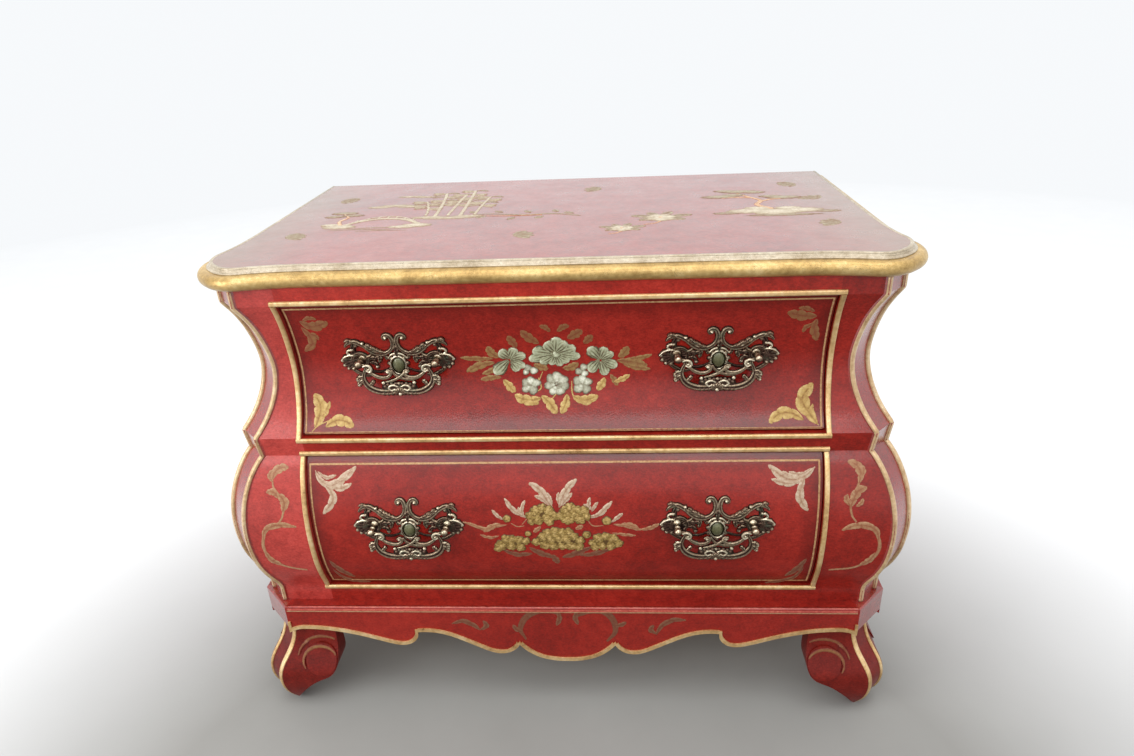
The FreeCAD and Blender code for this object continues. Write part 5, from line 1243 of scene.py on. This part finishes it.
# a long low branch across the middle
moss.stroke([(-30, 236), (10, 252), (60, 250), (112, 262), (150, 254)], [2.0, 2.6, 2.4, 2.0, 1.2], 0.6, (0.2, 0.8))
rose.stroke([(30, 247), (80, 246), (138, 252)], [1.5, 1.6, 1.0], 0.7, (0.1, 0.5))
for x, y, a in ((-20, 250, 40), (6, 262, 70), (26, 240, -50), (48, 262, 60), (70, 238, -60), (92, 268, 45), (116, 250, -40), (136, 268, 60)):
    c, d = math.cos(math.radians(a)), math.sin(math.radians(a))
    moss.leaf([(x, y), (x + 9 * c, y + 9 * d), (x + 20 * c, y + 17 * d)], 5.5, 0.6)
# a stand of bamboo beside it
for x, lean, foot, top, w in ((136, -8, 262, 388, 2.6), (158, 4, 256, 440, 3.4), (178, -5, 260, 410, 3.0), (198, 12, 258, 424, 3.2), (214, 18, 264, 362, 2.4)):
    for i in range(6):
        y0, y1 = foot + (top - foot) * i / 6.0, foot + (top - foot) * (i + 1) / 6.0 - 4.0
        x0, x1 = x + lean * (i / 6.0) ** 1.6, x + lean * ((i + 1) / 6.0) ** 1.6
        cream.stroke([(x0, y0), (x1, y1)], [w, w * 0.86], 0.95, (0.25, 1.0), groove=0.3)
        if i > 1:
            side = 1 if (i + int(x)) % 2 else -1
            for q in (12, -14, -38):
                c, d = side * math.cos(math.radians(q)), math.sin(math.radians(q))
                cream.leaf([(x1, y1), (x1 + 12 * c, y1 + 11 * d + 1), (x1 + 25 * c, y1 + 20 * d)], 3.4, 0.8, notch=0.0, teeth=1, tone=(0.15, 0.80))
            moss.leaf([(x1, y1 + 2), (x1 - side * 11, y1 + 5), (x1 - side * 23, y1 - 2)], 3.6, 0.7, notch=0.0, teeth=1)
for x, y, rx, ry in ((146, 252, 28, 8), (206, 250, 32, 9), (176, 244, 46, 8)):
    cream.blob(x, y, rx, 0.7, (0.15, 0.8), rv=ry, scallop=9, depth=0.15)
# arched bridge, rocks and mist beside it
cream.stroke([(214, 214), (240, 240), (272, 250), (304, 240), (330, 214)], [3.6, 4.4, 4.8, 4.4, 3.6], 0.9, (0.2, 0.95), groove=0.3)
cream.stroke([(222, 228), (246, 254), (272, 263), (298, 254), (322, 228)], [1.4], 0.8, (0.3, 0.95))
for x in (228, 243, 258, 272, 286, 301, 316):
    yy = 250 - (abs(x - 272) / 58.0) ** 1.8 * 34
    cream.stroke([(x, yy), (x, yy + 13)], [1.2], 0.8, (0.3, 0.9))
for x, y, rx, ry in ((216, 204, 26, 12), (334, 204, 28, 13), (350, 216, 18, 9), (236, 196, 24, 9)):
    cream.blob(x, y, rx, 0.8, (0.15, 0.95), rv=ry, scallop=9, depth=0.16)
for y, a, b in ((192, 232, 318), (184, 250, 346), (176, 224, 300)):
    moss.stroke([(a, y), ((a + b) / 2, y + 3), (b, y)], [0.8, 1.8, 0.8], 0.5, (0.3, 0.8))
for x, y, rx, ry in ((252, 330, 26, 9), (280, 338, 30, 9), (306, 330, 22, 8), (244, 400, 20, 7), (270, 406, 26, 7)):
    cream.blob(x, y, rx, 0.6, (0.2, 0.75), rv=ry, scallop=9, depth=0.15)
rose.stroke([(336, 214), (344, 240), (338, 262), (350, 284)], [3.4, 2.8, 2.4, 1.6], 0.8, (0.2, 0.9))
for x, y, rx, ry in ((352, 292, 24, 10), (334, 276, 20, 8), (362, 270, 18, 8)):
    moss.blob(x, y, rx, 0.8, (0.1, 0.9), rv=ry, scallop=12, depth=0.2)
# soft sprays at the corners and behind
for x, y, a, n in ((-400, 300, 60, 4), (-396, 150, 20, 4), (396, 150, 160, 5), (388, 392, 200, 5), (-60, 420, 10, 4), (60, 130, 170, 4), (-390, 420, -20, 5)):
    for i in range(n):
        b = math.radians(a - 45 + 90 * i / (n - 1))
        c, d = math.cos(b), math.sin(b)
        moss.leaf([(x, y), (x + 14 * c, y + 14 * d + 2), (x + 30 * c, y + 26 * d)], 7.0, 0.5)
for r, name, mat in ((moss, "top_scene_moss", P_MOSS), (rose, "top_scene_rose", P_ROSE), (cream, "top_scene_cream", P_CREAM)):
    r.H, r.T = r.H[:, ::-1].copy(), r.T[:, ::-1].copy()
    r.piece(name, top_place, mat, "carcass", "lacquer", sink=0.2, soften=1)


# ------------------------------------------------------------------ floor, light and camera
def smooth_piece(name, verts, faces, mat, tone=None):
    me = bpy.data.meshes.new(name)
    me.from_pydata([tuple(v) for v in verts], [], [tuple(f) for f in faces])
    me.materials.append(mat)
    me.polygons.foreach_set("use_smooth", [True] * len(me.polygons))
    if tone is not None:
        a = me.attributes.new("tone", "FLOAT", "POINT")
        a.data.foreach_set("value", np.asarray(tone, np.float32))
    me.update()
    o = bpy.data.objects.new(name, me)
    scene.collection.objects.link(o)
    return o


m = Mat("floor_pale")
fx, fy, fz = m.xyz()
back = m.math("MAXIMUM", m.math("ADD", fy, 0.60), 0.0)
ring = m.math("SQRT", m.math("ADD", m.math("MULTIPLY", fx, fx), m.math("MULTIPLY", back, back)))
far = m.span(ring, 0.62, 1.35)
horizon = m.span(ring, 1.35, 4.5)
near = m.ramp(m.noise(1.6, 5.0, 0.6), [(0.3, (0.25, 0.25, 0.238)), (0.7, (0.30, 0.30, 0.288))])
# further out the floor turns lighter and glows through emission: painted light that fades it to white towards the
# horizon
m.p.inputs["Emission Color"].default_value = (0.93, 0.95, 0.97, 1.0)
col = m.mix(horizon, m.mix(far, near, (0.56, 0.57, 0.58)), (0.0, 0.0, 0.0))
m.set(Base_Color=col, Emission_Strength=m.math("ADD", m.math("MULTIPLY", far, 0.45), m.math("MULTIPLY", horizon, 0.55)),
      Specular_IOR_Level=m.math("SUBTRACT", 0.2, m.math("MULTIPLY", horizon, 0.2)),
      Roughness=m.span(m.noise(9.0, 3.0), 0.3, 0.7, 0.5, 0.7), Normal=m.bump(m.noise(160.0, 3.0), 0.06, 0.001))
floor = smooth_piece("floor", [(-9, -9, 0), (9, -9, 0), (9, 9, 0), (-9, 9, 0)], [(0, 1, 2, 3)], m.m)

world = bpy.data.worlds.new("studio")
scene.world = world
world.use_nodes = True
wt = world.node_tree
wt.nodes.clear()
wo = wt.nodes.new("ShaderNodeOutputWorld")
wb = wt.nodes.new("ShaderNodeBackground")
wt.links.new(wb.outputs[0], wo.inputs[0])
wc = wt.nodes.new("ShaderNodeTexCoord")
ws = wt.nodes.new("ShaderNodeSeparateXYZ")
wt.links.new(wc.outputs["Generated"], ws.inputs[0])
wr = wt.nodes.new("ShaderNodeMapRange")
wr.inputs[1].default_value, wr.inputs[2].default_value = -0.55, 0.15
wr.inputs[3].default_value, wr.inputs[4].default_value = 0.0, 1.0
wt.links.new(ws.outputs[1], wr.inputs[0])
wm = wt.nodes.new("ShaderNodeMix")
wm.data_type = "RGBA"
wz = wt.nodes.new("ShaderNodeValToRGB")
wz.color_ramp.elements[0].position = 0.0
wz.color_ramp.elements[0].color = (0.60, 0.61, 0.62, 1)
wz.color_ramp.elements[1].position = 0.45
wz.color_ramp.elements[1].color = (0.90, 0.90, 0.90, 1)
wt.links.new(ws.outputs[2], wz.inputs[0])
wt.links.new(wz.outputs[0], wm.inputs[6])
wh = wt.nodes.new("ShaderNodeValToRGB")
wh.color_ramp.elements[0].position = 0.12
wh.color_ramp.elements[0].color = (0.93, 0.95, 0.97, 1)
wh.color_ramp.elements[1].position = 0.42
wh.color_ramp.elements[1].color = (1.22, 1.20, 1.18, 1)
wt.links.new(ws.outputs[2], wh.inputs[0])
wt.links.new(wh.outputs[0], wm.inputs[7])
wt.links.new(wr.outputs[0], wm.inputs[0])
wt.links.new(wm.outputs[2], wb.inputs[0])
wb.inputs[1].default_value = 1.0


def area_light(name, at, to, size, watts, color=(1, 1, 1)):
    li = bpy.data.lights.new(name, "AREA")
    li.shape = "RECTANGLE"
    li.size, li.size_y = size
    li.energy = watts
    li.color = color
    o = bpy.data.objects.new(name, li)
    scene.collection.objects.link(o)
    d = Vector(to) - Vector(at)
    o.matrix_world = Matrix.Translation(Vector(at)) @ d.to_track_quat("-Z", "Y").to_matrix().to_4x4()
    return o


area_light("key_front", (-0.1, -2.1, 2.0), (0.0, -0.2, 0.45), (2.6, 0.65), 14)
area_light("wall_front", (-0.2, -2.4, 1.2), (0.0, -0.25, 0.45), (3.0, 1.7), 5)
area_light("wall_left", (-1.30, -1.0, 0.90), (-0.45, -0.25, 0.45), (0.6, 0.8), 8)
area_light("overhead", (0.1, -0.75, 2.6), (0.0, -0.2, 0.5), (2.6, 1.2), 20)

YAW, PITCH, ROLL = 0.0701, 0.4462, -0.0454
FOCAL_PX = 760.2393
sy, cy, sp, cp = math.sin(YAW), math.cos(YAW), math.sin(PITCH), math.cos(PITCH)
fwd = Vector((-sy * cp, cy * cp, -sp))
right = Vector((cy, sy, 0.0))
up = right.cross(fwd)
r2 = right * math.cos(ROLL) + up * math.sin(ROLL)
u2 = -right * math.sin(ROLL) + up * math.cos(ROLL)
cam_data = bpy.data.cameras.new("camera")
cam_data.sensor_fit = "HORIZONTAL"
cam_data.sensor_width = 36.0
cam_data.lens = FOCAL_PX / 1134.0 * 36.0
cam_data.clip_start = 0.01
camera = bpy.data.objects.new("camera", cam_data)
scene.collection.objects.link(camera)
basis = Matrix((r2, u2, -fwd)).transposed().to_4x4()
camera.matrix_world = Matrix.Translation(P(79.7227, -912.9913, 992.37)) @ basis
scene.camera = camera
scene.view_settings.view_transform = "Standard"
